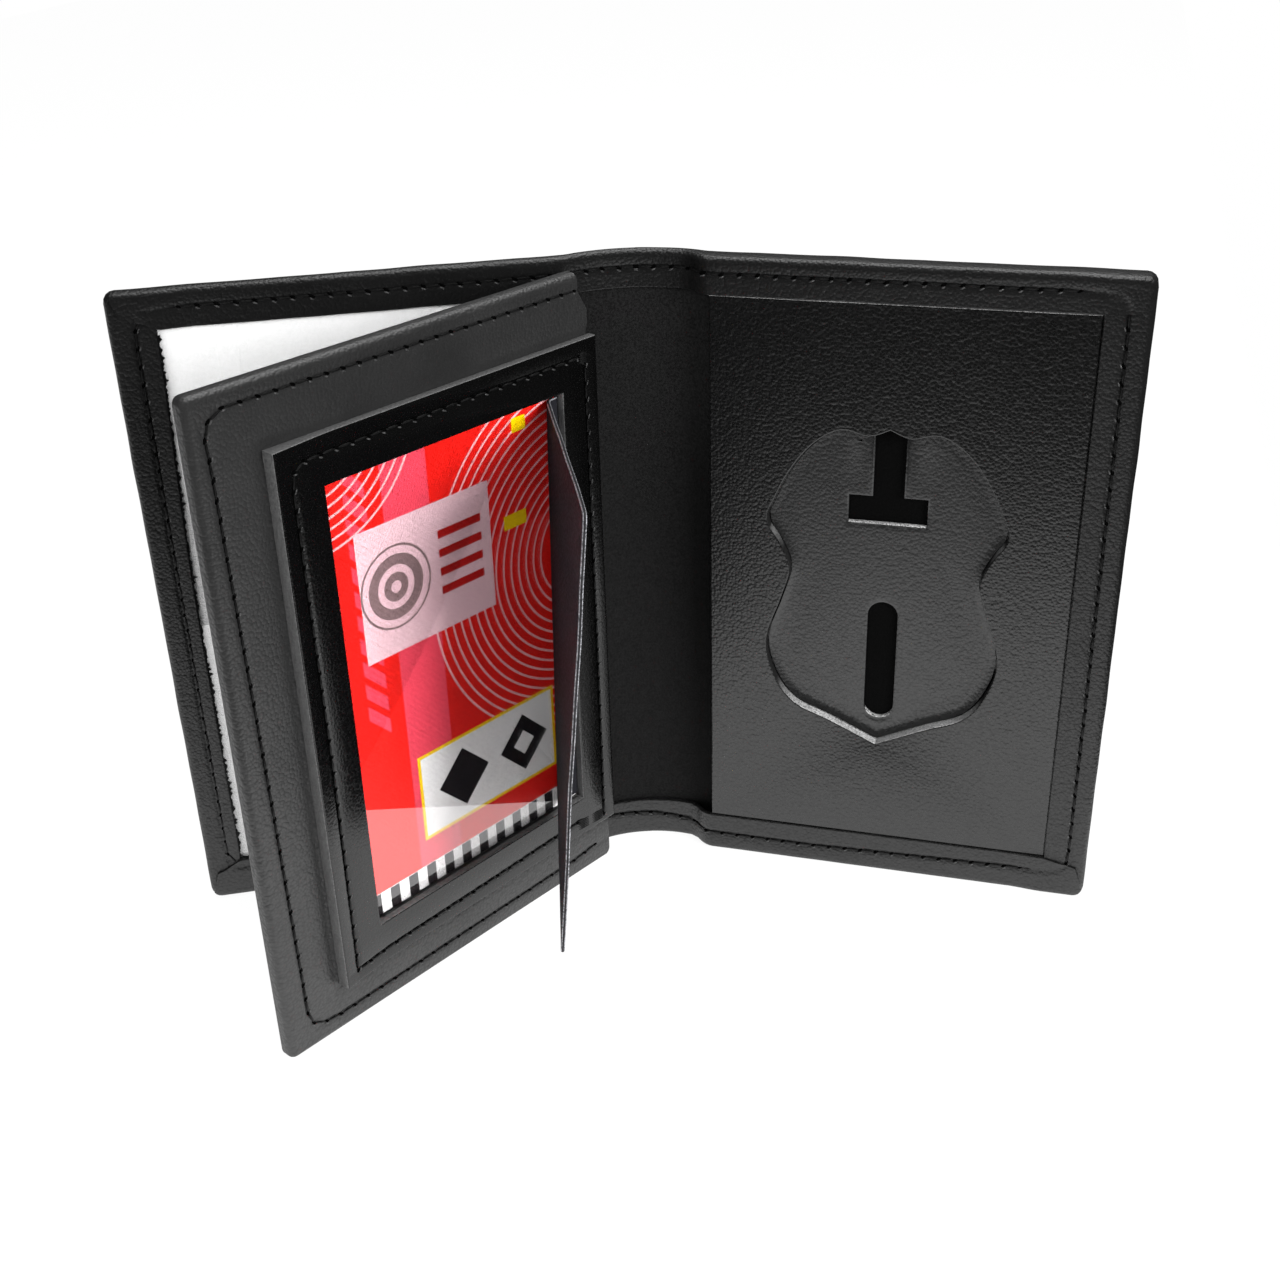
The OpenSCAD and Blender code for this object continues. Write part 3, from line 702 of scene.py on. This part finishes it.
def cover_skin(name, low, outer_u, stack, place, us, route, mitres, taper=0):
    """A page's leather with hems on three sides, and plain at u = low."""
    top = stack[-1]
    side = outer_u - SIDE_HEM
    bm = turned_blank(low, outer_u, stack[0], top, COVER_H)
    cut_all(bm, [side], [FOOT_HEM, COVER_H - TOP_HEM])
    hollow(bm, low, side, outer_u - LEATHER_T, stack)
    lip(bm, top, LIP_R)
    cut_all(bm, us + stations(outer_u - SIDE_SEAM[0], outer_u - SIDE_SEAM[1], FINE))
    cut_all(bm, [outer_u - TURN_R - MARGIN, side + LIP_R + MARGIN], HEM_ROWS)
    cut_all(bm, (), stations(*PLAIN_ROWS, COARSE))
    for (au, az), (bu, bz) in [line for mitre in mitres for line in mitre]:
        normal = Vector((az - bz, 0, bu - au)).normalized()
        for shift in (-MITRE_STEP, MITRE_STEP):
            middles = {f: f.calc_center_median() for f in bm.faces}
            corner = [f for f, c in middles.items() if c.x > side - MITRE_IN and abs(c.z - az) < MITRE_REACH]
            cut(bm, Vector((au, 0, az)) + normal * shift, normal, corner)
    for v in bm.verts:
        u, z = v.co.x, v.co.z
        if v.co.y > top - FACE_DEPTH:
            press_groove(v, [route])
            v.co.y += HEM_WAVER * noise(Vector((u / 5, z / 5, 3)))
            for along, across in mitres:
                over = smooth(left_of(along, u, z), -MITRE_STEP, MITRE_STEP)
                over *= smooth(left_of(across, u, z), -MITRE_STEP, MITRE_STEP)
                v.co.y += MITRE_LIFT * over * smooth(u, side - WAVER_IN, side)
        if v.co.y > stack[2] - EPS and u > side - LIP_R - EPS:
            v.co.x += taper * toward_foot(z) * (1 - smooth(u, side, side + TAPER_W))
        v.co.y = to_spine(u, v.co.y, stack)
        v.co.z += TOP_WAVER * noise(Vector((u / 9, 0, 7))) * smooth(z, COVER_H / 2, COVER_H)
        v.co.x += SIDE_WAVER * noise(Vector((z / 9, 5, 0))) * smooth(u, outer_u - WAVER_IN, outer_u)
    return finish_mesh(name, bm, [COVER_HIDE], place=place, sharp=60)


def middle_skin():
    """The spine's leather between its middle and the far fold."""
    back, top = SPINE_STACK[0], SPINE_STACK[-1]
    low = -SPINE_W / 2
    bm = block(low, 0, back, top, 0, COVER_H)
    bevel(bm, [e for e in bm.edges if abs(e.verts[0].co.x - e.verts[1].co.x) > EPS], TURN_R, segments=4)
    cut_all(bm, (), [FOOT_HEM, COVER_H - TOP_HEM])
    hollow(bm, low, 0, 0, SPINE_STACK)
    open_end(bm, 0)
    lip(bm, top, LIP_R)
    cut_all(bm, stations(low, 0, BOW_STEP), HEM_ROWS)
    for v in bm.verts:
        if v.co.y > top - FACE_DEPTH:
            press_groove(v, SPINE_ROUTES)
    return finish_mesh("spine_skin", bm, [COVER_HIDE], place=over_far_fold, sharp=60)


def sewn_on(stack, place):
    """Places a stitch on a page whose stack thins toward the fold."""
    return lambda u, v, z: place(u, to_spine(u, v, stack), z)


# Fibres of the raw hem: how many a millimetre, their length and spread, their root and their height
FIBRES, LEAST_FIBRE, MEAN_FIBRE, FIBRE_SPREAD, FIBRE_ROOT, FIBRE_T = 3, 0.04, 0.22, 0.9, 0.8, 0.12


def fringe(name, u, low_z, high_z, v, place, body):
    """Fibres of the raw hem that stray over the insert."""
    bm = bmesh.new()
    near, far = [], []
    for i in range(int(high_z - low_z) * FIBRES):
        z = low_z + i / FIBRES
        reach = max(LEAST_FIBRE, MEAN_FIBRE + FIBRE_SPREAD * noise(Vector((i * 1.7, 3, 1))))
        near.append(bm.verts.new((u - reach, v, z)))
        far.append(bm.verts.new((u + FIBRE_ROOT, v, z)))
    for corners in zip(near, near[1:], far[1:], far):
        bm.faces.new(corners)
    made = bmesh.ops.extrude_face_region(bm, geom=region(bm.faces))
    bmesh.ops.translate(bm, vec=(0, FIBRE_T, 0), verts=raised(made))
    for vert in bm.verts:
        vert.co.x += CARD_TAPER * toward_foot(vert.co.z)
    return finish_mesh(name, bm, [THREAD], body, place)


LAST_COLUMN = SIDE_SEAM[0]
NEAR_COLUMNS = stations(-SPINE_W / 2, FOLD_SPAN[0], 1) + stations(*FOLD_SPAN, FOLD_STEP)
NEAR_COLUMNS += stations(FOLD_SPAN[1], BADGE_COVER_W - LAST_COLUMN, COARSE)
FAR_COLUMNS = stations(0, 4, FOLD_STEP) + stations(4, CARD_COVER_W - LAST_COLUMN, COARSE)
BADGE_SHEET = (-SPINE_W / 2, BADGE_COVER_W, BADGE_STACK, over_near_fold, NEAR_COLUMNS)
CARD_SHEET = (0, CARD_COVER_W, CARD_STACK, over_far_fold, FAR_COLUMNS)
right_skin = cover_skin("badge_cover_skin", *BADGE_SHEET, BADGE_ROUTE, BADGE_MITRES)
left_skin = cover_skin("card_cover_skin", *CARD_SHEET, CARD_ROUTE, CARD_MITRES, CARD_TAPER)
# The fibres' u, foot, head and depth
FRINGE_PLACE = (CARD_COVER_W - SIDE_HEM, 9, 107, CARD_STACK[2] + 0.03)
hem_fibres = fringe("card_hem_fibres", *FRINGE_PLACE, on_card_cover, "id_cover")
spine_skin = middle_skin()
right_seam = sew("badge_cover_stitches", [BADGE_ROUTE], BADGE_STACK[-1], sewn_on(BADGE_STACK, over_near_fold))
left_seam = sew("card_cover_stitches", [CARD_ROUTE], CARD_STACK[-1], sewn_on(CARD_STACK, over_far_fold))
spine_seam = sew("spine_stitches", SPINE_ROUTES, SPINE_STACK[-1], over_far_fold)

# A lining's rows, the width of its flat margin, and the span and mean of its unevenness
LINING_ROW, FLAT_MARGIN, SWELL_SPAN, SWELL_MEAN = 3, 4, 11, -0.6


def soft_sheet(name, box, place, step, body=None, swell=0.0):
    """A cloth layer, glued down but never quite flat."""
    low_u, high_u, _, _, low_z, high_z = box
    bm = block(*box)
    cut_all(bm, stations(low_u, high_u, step), stations(low_z, high_z, LINING_ROW))
    for v in bm.verts:
        inner = smooth(min(v.co.x - low_u, high_u - v.co.x, v.co.z - low_z, high_z - v.co.z), 0, FLAT_MARGIN)
        wave = noise(Vector((v.co.x / SWELL_SPAN, 2, v.co.z / SWELL_SPAN)))
        v.co.y += inner * swell * (wave + SWELL_MEAN)
    sheet = finish_mesh(name, bm, [LINING], body, place)
    return sheet


# The spine's lining: its depths and heights, its end past the near fold and its columns' spacing
LINING_SECTION, LINING_END, LINING_STEP = (*SPINE_STACK[1:3], 1, COVER_H - 1), 1.3, 0.6
NEAR_LINING, FAR_LINING = [(-SPINE_W / 2, end, *LINING_SECTION) for end in (LINING_END, 0)]
near_lining = soft_sheet("spine_lining_near", NEAR_LINING, over_near_fold, LINING_STEP)
far_lining = soft_sheet("spine_lining_far", FAR_LINING, over_far_fold, LINING_STEP)

# Where the leather starts and stops bending at each joint, as places along a page or up from it
SPINE_BEND = [over_far_fold(u, 0, 0) * MM for u in (-3, -0.3)]
CARD_BEND = [over_far_fold(u, 0, 0) * MM for u in (0.3, 3.2)]
FLAP_BEND = [on_leaf(11, FLAP_FLAT_V + rise, 0) * MM for rise in (0.4, 4)]
HINGE_BEND = [on_leaf(1.4, v, 0) * MM for v in (0.3, 2.6)]
for piece in (right_skin, right_seam, near_lining):
    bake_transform(piece)
for piece in (spine_skin, spine_seam, far_lining):
    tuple(SPINE_BEND[0])
    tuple(SPINE_BEND[1])
    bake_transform(piece)
for piece in (left_skin, left_seam):
    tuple(CARD_BEND[0])
    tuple(CARD_BEND[1])
    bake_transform(piece)
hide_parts("badge_cover_leather")
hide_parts("spine_leather")
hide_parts("id_cover_leather")
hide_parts("spine_lining")

# Pieces cut from flat stock keep the imported outline and get their edges eased

# Rounding of a slot foot's edge, and how far under a slot's foot its upward faces get the painted highlight
FOOT_ROUND_R, HIGHLIGHT_UNDER = 0.45, 0.5
# The share of its normal by which a face is flat, and by which it isn't a wall
FLAT_SHARE, WALL_SHARE = 0.9, 0.3
# Packed curves are joined where they bend by less than this angle, or their corners are this near
PACKED_BEND, PACKED_NEAR = 2, 0.002


def at_slot(point, spans):
    """True beside the slots' middle line, inside one of the spans of low z, high z and half width."""
    return any(abs(point.x - SLOT_X) < half and low_z < point.z < high_z for low_z, high_z, half in spans)


def packed_copy(cad_node):
    """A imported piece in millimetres, with its flat faces whole and its walls as the second material."""
    bm = bmesh.new()
    bm.from_mesh(frame["nodes"][cad_node].data)
    bmesh.ops.scale(bm, vec=(1 / MM,) * 3, verts=bm.verts)
    bmesh.ops.remove_doubles(bm, verts=bm.verts, dist=PACKED_NEAR)
    bmesh.ops.dissolve_limit(bm, angle_limit=math.radians(PACKED_BEND), verts=bm.verts, edges=bm.edges)
    for f in bm.faces:
        f.material_index = 0 if abs(f.normal.y) > WALL_SHARE else 1
    return bm


def dish(bm, face, rings):
    """Lets a face dip toward its slots and rise toward its wall, ring by ring inward from its rims."""
    for width, dip, rise in rings:
        ring = bmesh.ops.inset_region(bm, faces=face, thickness=width, use_even_offset=True)["faces"]
        for v in {v for f in ring for v in f.verts} - {v for f in face for v in f.verts}:
            share = min(1, max(LEAST_RISE, (RISE_END_Z - v.co.z) / RISE_FADE))
            v.co.y += dip if at_slot(v.co, SLOTS) else -rise * share


def flat_cut(name, cad_node, hide, face_v, ease=0, rings=(), feet=()):
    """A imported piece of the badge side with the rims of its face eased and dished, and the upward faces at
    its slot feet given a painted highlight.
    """
    bm = packed_copy(cad_node)
    face_y = NEAR_FOLD.y - face_v

    def rim(within=lambda c: True):
        """Sharp edges round the face whose corners pass a test."""
        flat = [e for e in bm.edges if all(abs(v.co.y - face_y) < EPS and within(v.co) for v in e.verts)]
        return [e for e in flat if e.calc_face_angle(0) > SQUARE]

    if ease:
        bevel(bm, rim(), ease, segments=2)
    for low_z, high_z, half in feet:
        bevel(bm, rim(lambda c: at_slot(c, [(low_z, high_z, half)])), FOOT_ROUND_R, segments=3)
        # Upward faces at a slot's foot get the bright rim colour: a painted highlight
        painted_top_light = [(low_z - HIGHLIGHT_UNDER, high_z, half)]
        for f in bm.faces:
            if f.normal.z > WALL_SHARE and at_slot(f.calc_center_median(), painted_top_light):
                f.material_index = 2
    flat = [f for f in bm.faces if abs(f.normal.y) > FLAT_SHARE]
    face = [f for f in flat if abs(f.calc_center_median().y - face_y) < EPS]
    dish(bm, face, rings)
    obj = finish_mesh(name, bm, [hide, RAW_EDGE, SLOT_RIM_HIGHLIGHT], "badge_cover", sharp=18)
    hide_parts(cad_node)
    return obj


PANEL_FACE_V, SEAT_FACE_V, PANEL_EASE = 3.2, 1.2, 0.22
panel = flat_cut("badge_panel_cut", "badge_panel", PANEL_HIDE, PANEL_FACE_V, ease=PANEL_EASE)
flat_cut("badge_seat_leather", "badge_backing", SEAT_HIDE, SEAT_FACE_V, rings=SEAT_RIMS, feet=SLOT_FEET)

# Leaf


# Where the leaf is scored: from its fold past its side seam, and from its foot past its two seams
LEAF_COLUMNS, LEAF_ROWS = (4, 70.4, 74.4), (1.8, 5, 108, 111)
# The back lining's box, and how far it swells
LEAF_LINING = (3, LEAF_W - 1, 2.35, 2.75, 1, LEAF_H - 1)
LEAF_SWELL = 0.15


def leaf_skin():
    """Front leather turned over three edges on to the back, open at the window and at the back's lining."""
    bm = bmesh.new()
    outline = [(LEAF_START, 0), (LEAF_W, 0), (LEAF_W, LEAF_H), (NOTCH_U, LEAF_H), (NOTCH_U, NOTCH_Z)]
    outline.append((LEAF_START, NOTCH_Z - NOTCH_SLANT))
    bm.faces.new([bm.verts.new((u, LEAF_BACK_V, z)) for u, z in outline])
    made = bmesh.ops.extrude_face_region(bm, geom=bm.faces[:])
    bmesh.ops.translate(bm, vec=(0, LEAF_FACE_V - LEAF_BACK_V, 0), verts=raised(made))
    through = [e for e in bm.edges if is_through(e)]
    corners = [e for e in through if e.verts[0].co.x > LEAF_W - EPS or e.verts[0].co.z < EPS]
    bevel(bm, corners, LEAF_CORNER, segments=4)
    for v, roll in ((LEAF_FACE_V, LEAF_ROLL), (LEAF_BACK_V, LEAF_BACK_ROLL)):
        rim = [e for e in bm.edges if not is_through(e) and max(w.co.x for w in e.verts) > NOTCH_U + EPS]
        bevel(bm, [e for e in rim if abs(e.verts[0].co.y - v) < EPS], roll, segments=6)
    low_u, high_u, low_z, high_z = WINDOW
    edge = LEAF_ROLL + MARGIN
    first_u, seam_u, last_u = LEAF_COLUMNS
    first_z, low_seam_z, high_seam_z, last_z = LEAF_ROWS
    cut_all(bm, [low_u, high_u, LEAF_W - LEAF_HEM, LEAF_W - edge])
    cut_all(bm, (), [low_z, high_z, LEAF_HEM, LEAF_H - LEAF_HEM])
    cut_all(bm, stations(first_u, seam_u, COARSE) + stations(seam_u, last_u, FINE), [edge, LEAF_H - edge])
    cut_all(bm, (), stations(low_seam_z, high_seam_z, COARSE))
    cut_all(bm, (), stations(first_z, low_seam_z, FINE) + stations(high_seam_z, last_z, FINE))
    open_parts = flat_faces(bm, LEAF_FACE_V, *WINDOW)
    open_parts += flat_faces(bm, LEAF_BACK_V, 0, LEAF_W - LEAF_HEM, LEAF_HEM, LEAF_H - LEAF_HEM)
    bmesh.ops.delete(bm, geom=open_parts, context="FACES")
    _, high_u, low_z, high_z = FRAME_RECT
    cut_all(bm, stations(high_u, high_u + PRESS_SPAN, PRESS_STEP))
    cut_all(bm, (), stations(high_z, high_z + PRESS_SPAN, PRESS_STEP))
    cut_all(bm, (), stations(low_z - PRESS_SPAN, low_z, PRESS_STEP))
    for v in bm.verts:
        u, z = v.co.x, v.co.z
        beside = math.hypot(max(0, u - high_u), max(0, z - high_z, low_z - z))
        if v.co.y > LEAF_FACE_V - EPS:
            press_groove(v, [LEAF_ROUTE])
            if beside:
                uneven = LEAF_WAVER * noise(Vector((u / 6, z / 6, 1)))
                v.co.y += uneven - PRESS * math.exp(-((beside / PRESS_W) ** 2))
    obj = finish_mesh("leaf_skin", bm, [LEAF_HIDE], "leaf", on_leaf, 60)
    wall = obj.modifiers.new("wall", "SOLIDIFY")
    wall.thickness = LEAF_LEATHER_T * MM
    wall.offset = -1
    return obj


leaf = leaf_skin()
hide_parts("leaf_leather")
leaf_seam = sew("leaf_stitches", [LEAF_ROUTE], LEAF_FACE_V, on_leaf, "leaf")
back_lining = soft_sheet("leaf_back_lining", LEAF_LINING, on_leaf, LINING_ROW, "leaf", LEAF_SWELL)
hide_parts("leaf_lining")


def frame_curl(u):
    """How far the frame's free end lifts off the leaf."""
    return FRAME_CURL * max(0, (u - CURL_FROM) / (FRAME_RECT[1] - CURL_FROM)) ** CURL_POWER


def on_frame(u, v, z):
    """A point of the leaf, lifted with the frame."""
    return on_leaf(u, v + frame_curl(u), z)


# The frame's plain edge, the spans of its seams on both sides and at both ends, and the spacing between
FRAME_EDGE_W, FRAME_SEAM_US, FRAME_SEAM_ZS = 0.4, ((2, 4), (60.8, 62.8)), ((10.4, 12.4), (98.2, 100.2))
FRAME_STEP = 3
# Faces turned toward v by more than this share show the hide, and the others its cut edge
FRAME_WALL_SHARE = 0.6


def frame_lines(low, hole_low, hole_high, high, first, second):
    """Where the frame is scored: beside its edges, closely along its seams and between them."""
    beside = [low + FRAME_EDGE_W, hole_low - FRAME_EDGE_W, hole_high + FRAME_EDGE_W, high - FRAME_EDGE_W]
    between = stations(first[1], second[0], FRAME_STEP)
    return beside + stations(*first, FINE) + stations(*second, FINE) + between


def window_ring():
    """The frame that is sewn round the window, cut from glazed hide with plain edges."""
    low_u, high_u, low_z, high_z = FRAME_RECT
    bm = block(low_u, high_u, FRAME_FOOT_V, FRAME_FACE_V, low_z, high_z)
    cut_all(bm, WINDOW[:2], WINDOW[2:])
    for v in (FRAME_FACE_V, FRAME_FOOT_V):
        bmesh.ops.delete(bm, geom=flat_faces(bm, v, *WINDOW), context="FACES")
    bmesh.ops.bridge_loops(bm, edges=[e for e in bm.edges if e.is_boundary])
    for f in bm.faces:
        f.material_index = 0 if abs(f.normal.y) > FRAME_WALL_SHARE else 1
    lip(bm, FRAME_FACE_V, FRAME_LIP)
    cut_all(bm, frame_lines(low_u, *WINDOW[:2], high_u, *FRAME_SEAM_US))
    cut_all(bm, (), frame_lines(low_z, *WINDOW[2:], high_z, *FRAME_SEAM_ZS))
    for v in bm.verts:
        if v.co.y > FRAME_FACE_V - EPS:
            press_groove(v, [FRAME_ROUTE])
        if v.co.y > LEAF_FACE_V:
            v.co.y += frame_curl(v.co.x)
    return finish_mesh("window_frame_sewn", bm, [FRAME_HIDE, FRAME_EDGE], "leaf", on_leaf, 60)


window_frame = window_ring()
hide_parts("window_frame")
frame_seam = sew("frame_stitches", [FRAME_ROUTE], FRAME_FACE_V, on_frame, "leaf")
bartacks = sew("frame_bartacks", BARTACKS, TACK_FACE_V, on_leaf, "leaf", TACK_THREAD, pierced=False)


def flap_sheet():
    """Thin leather, flat on the film at its root, bent up from a crease and twisted toward its head."""
    bm = block(0, FLAP_LENGTH, -FLAP_T / 2, FLAP_T / 2, FLAP_FOOT, FLAP_HEAD)
    corners = [e for e in bm.edges if is_through(e) and e.verts[0].co.x > FLAP_LENGTH - EPS]
    bevel(bm, corners, FLAP_CORNER, segments=3)
    bevel(bm, [e for e in bm.edges if not is_through(e)], FLAP_RIM_W, segments=1)
    # Flat faces show the hide, walls the dark edge, and bevelled rims a light speckle that is a painted
    # highlight
    for f in bm.faces:
        f.material_index = 0 if abs(f.normal.y) > FLAT_SHARE else 2 if abs(f.normal.y) > WALL_SHARE else 1
    columns = stations(0, FLAP_BEND_END, PRESS_STEP) + stations(FLAP_BEND_END, FLAP_LENGTH, COARSE)
    cut_all(bm, columns, stations(FLAP_FOOT, FLAP_HEAD, COARSE))

    def place(s, side, z):
        share = (z - FLAP_FOOT) / (FLAP_HEAD - FLAP_FOOT)
        rise = math.radians(FLAP_RISE[0] + FLAP_RISE[1] * share)
        start = FLAP_CREASE[0] + FLAP_CREASE[1] * share - FLAP_BEND_R * math.tan(rise / 2)
        turned = min(rise, max(0, (s - start) / FLAP_BEND_R))
        along = max(0, s - start - FLAP_BEND_R * rise)
        reach = min(s, start) + (FLAP_BEND_R - side) * math.sin(turned) + along * math.cos(rise)
        lift = FLAP_BEND_R * (1 - math.cos(turned)) + along * math.sin(rise) + side * math.cos(turned)
        lift += FLAP_WAVER * noise(Vector((s / 14, z / 14, 4))) * smooth(s, *WAVER_SPAN)
        return on_leaf(FLAP_ROOT_U + reach, FLAP_FLAT_V + lift, z)

    return finish_mesh("window_flap_sheet", bm, [FLAP_HIDE, FLAP_EDGE, FLAP_RIM_HIGHLIGHT], place=place, sharp=35)


flap = flap_sheet()
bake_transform(flap)
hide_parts("window_flap", "flap_root")


HINGE_PATH = ((6.6, 3.0), (3.4, 3.0), (2.2, 2.85), (1.6, 2.3), (1.4, 1.4), (1.35, 0.6), (1.4, 0.0))
HINGE_FOOT, HINGE_HEAD, HINGE_T = 6.4, 106, 0.5


def hinge():
    """The strip from the spine's fold into the leaf, bent round the fold's roll."""
    path = [Vector(p) for p in HINGE_PATH]
    inner, outer = [], []
    for before, here, after in zip(path[:1] + path, path, path[1:] + path[-1:]):
        ahead = (after - before).normalized()
        side = Vector((-ahead.y, ahead.x)) * HINGE_T / 2
        inner.append(here + side)
        outer.append(here - side)
    bm = bmesh.new()
    bm.faces.new([bm.verts.new((p.x, p.y, HINGE_FOOT)) for p in inner + outer[::-1]])
    made = bmesh.ops.extrude_face_region(bm, geom=bm.faces[:])
    bmesh.ops.translate(bm, vec=(0, 0, HINGE_HEAD - HINGE_FOOT), verts=raised(made))
    return finish_mesh("leaf_hinge_leather", bm, [COVER_HIDE], place=on_leaf)


hinge_strip = hinge()
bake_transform(hinge_strip)
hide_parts("leaf_hinge_strip")

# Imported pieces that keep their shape

FINISHES = {
    "badge_cover_board": BOARD,
    "badge_slot_lining": SLOT_CLOTH_SHADED,
    "leaf_board": BOARD,
    "id_card": PRINT,
    "card_film": VINYL,
    "id_cover_board": BOARD,
    "id_cover_lining": LINING,
    "insert_sheet": PAPER,
    "id_cover_film": VINYL,
}
for name, finish in FINISHES.items():
    mesh = frame["nodes"][name].data
    mesh.materials.clear()
    mesh.materials.append(finish)

# Studio


# The table: its low and high x, its front and far side, how far it lies under the wallet, and its glow
TABLE_SIDES, TABLE_DROP, TABLE_GLOW = (-900, 80, -140, 1800), 0.05, 0.93
# How bright the room is to the camera, to the light and in gloss
WHITE_ROOM, DIM_ROOM, DARK_ROOM = 1.0, 0.85, 0.03
# Lamps: place, size in metres, power in watts, and whether gloss shows them. The fills leave no
# highlight, as a tent of thin cloth would.
LAMPS = (
    ("overhead_softbox", (0, 150, 650), 0.5, 2.6, True),
    ("front_fill", (-260, -480, 300), 0.35, 4.0, False),
    ("right_fill", (430, -260, 260), 0.25, 9.0, False),
)
LAMP_AIM = (-30, 0, 50)


def table():
    """A white table that glows for the camera and in gloss, and is plain white to the light."""
    mat, tree, _ = new_material("white_table")
    path = node(tree, "LightPath")
    seen = calc(tree, "MAXIMUM", path.outputs["Is Camera Ray"], path.outputs["Is Glossy Ray"])
    seen = calc(tree, "MAXIMUM", seen, path.outputs["Is Transmission Ray"])
    plain = node(tree, "BsdfDiffuse", Color=(0.9, 0.9, 0.9, 1)).outputs[0]
    glow = node(tree, "Emission", Color=(1, 1, 1, 1), Strength=1.0).outputs[0]
    surface(tree, mix_shader(tree, calc(tree, "MULTIPLY", seen, TABLE_GLOW), plain, glow))
    bm = bmesh.new()
    bmesh.ops.create_grid(bm, x_segments=1, y_segments=1, size=1)
    low_x, high_x, front, far = TABLE_SIDES
    bmesh.ops.scale(bm, vec=((high_x - low_x) / 2, (far - front) / 2, 1), verts=bm.verts)
    bmesh.ops.translate(bm, vec=((low_x + high_x) / 2, (far + front) / 2, -TABLE_DROP), verts=bm.verts)
    finish_mesh("table_top", bm, [mat])


def room():
    """White to the camera, dark in gloss and dim to the light."""
    world = bpy.data.worlds.new("studio_air")
    SCENE.world = world
    world.use_nodes = True
    tree = world.node_tree
    tree.nodes.clear()
    path = node(tree, "LightPath")
    white, dim, dark = (
        node(tree, "Background", Color=(1, 1, 1, 1), Strength=s).outputs[0]
        for s in (WHITE_ROOM, DIM_ROOM, DARK_ROOM)
    )
    lit = mix_shader(tree, path.outputs["Is Glossy Ray"], dim, dark)
    node(tree, "OutputWorld", Surface=mix_shader(tree, path.outputs["Is Camera Ray"], lit, white))


def lamps():
    """A soft light overhead, and two that fill the shade."""
    for name, at, size, power, glossy in LAMPS:
        light = bpy.data.lights.new(name, "AREA")
        light.shape = "SQUARE"
        light.size = size
        light.energy = power
        lamp = bpy.data.objects.new(name, light)
        lamp.location = Vector(at) * MM
        lamp.rotation_euler = (Vector(LAMP_AIM) - Vector(at)).to_track_quat("-Z", "Y").to_euler()
        lamp.visible_glossy = glossy
        SCENE.collection.objects.link(lamp)


# The photograph's view, fitted to the covers: place, turns in degrees, and focal length in its pixels
CAMERA_AT, YAW, PITCH_DOWN, ROLL = (23.70, -251.01, 183.36), 15.78, 28.38, -1.70
FOCAL_PX, PHOTO_PX, SENSOR_W = 1630.2, 1280, 36


def camera():
    """Looks down at the wallet from in front of the badge cover."""
    at = Vector(CAMERA_AT) * MM
    yaw, pitch, roll = (math.radians(angle) for angle in (YAW, PITCH_DOWN, ROLL))
    side = Vector((math.cos(yaw), math.sin(yaw), 0))
    ahead = Vector((-math.sin(yaw) * math.cos(pitch), math.cos(yaw) * math.cos(pitch), -math.sin(pitch)))
    right = math.cos(roll) * side + math.sin(roll) * side.cross(ahead)
    up = right.cross(ahead)
    data = bpy.data.cameras.new("camera")
    data.sensor_width = SENSOR_W
    data.lens = FOCAL_PX / PHOTO_PX * SENSOR_W
    data.clip_start = 0.01
    cam = bpy.data.objects.new("camera", data)
    rows = [(right[i], up[i], -ahead[i], at[i]) for i in range(3)]
    cam.matrix_world = Matrix((*rows, (0, 0, 0, 1)))
    SCENE.collection.objects.link(cam)
    SCENE.camera = cam


SCENE.view_settings.view_transform = "Standard"
table()
room()
lamps()
camera()
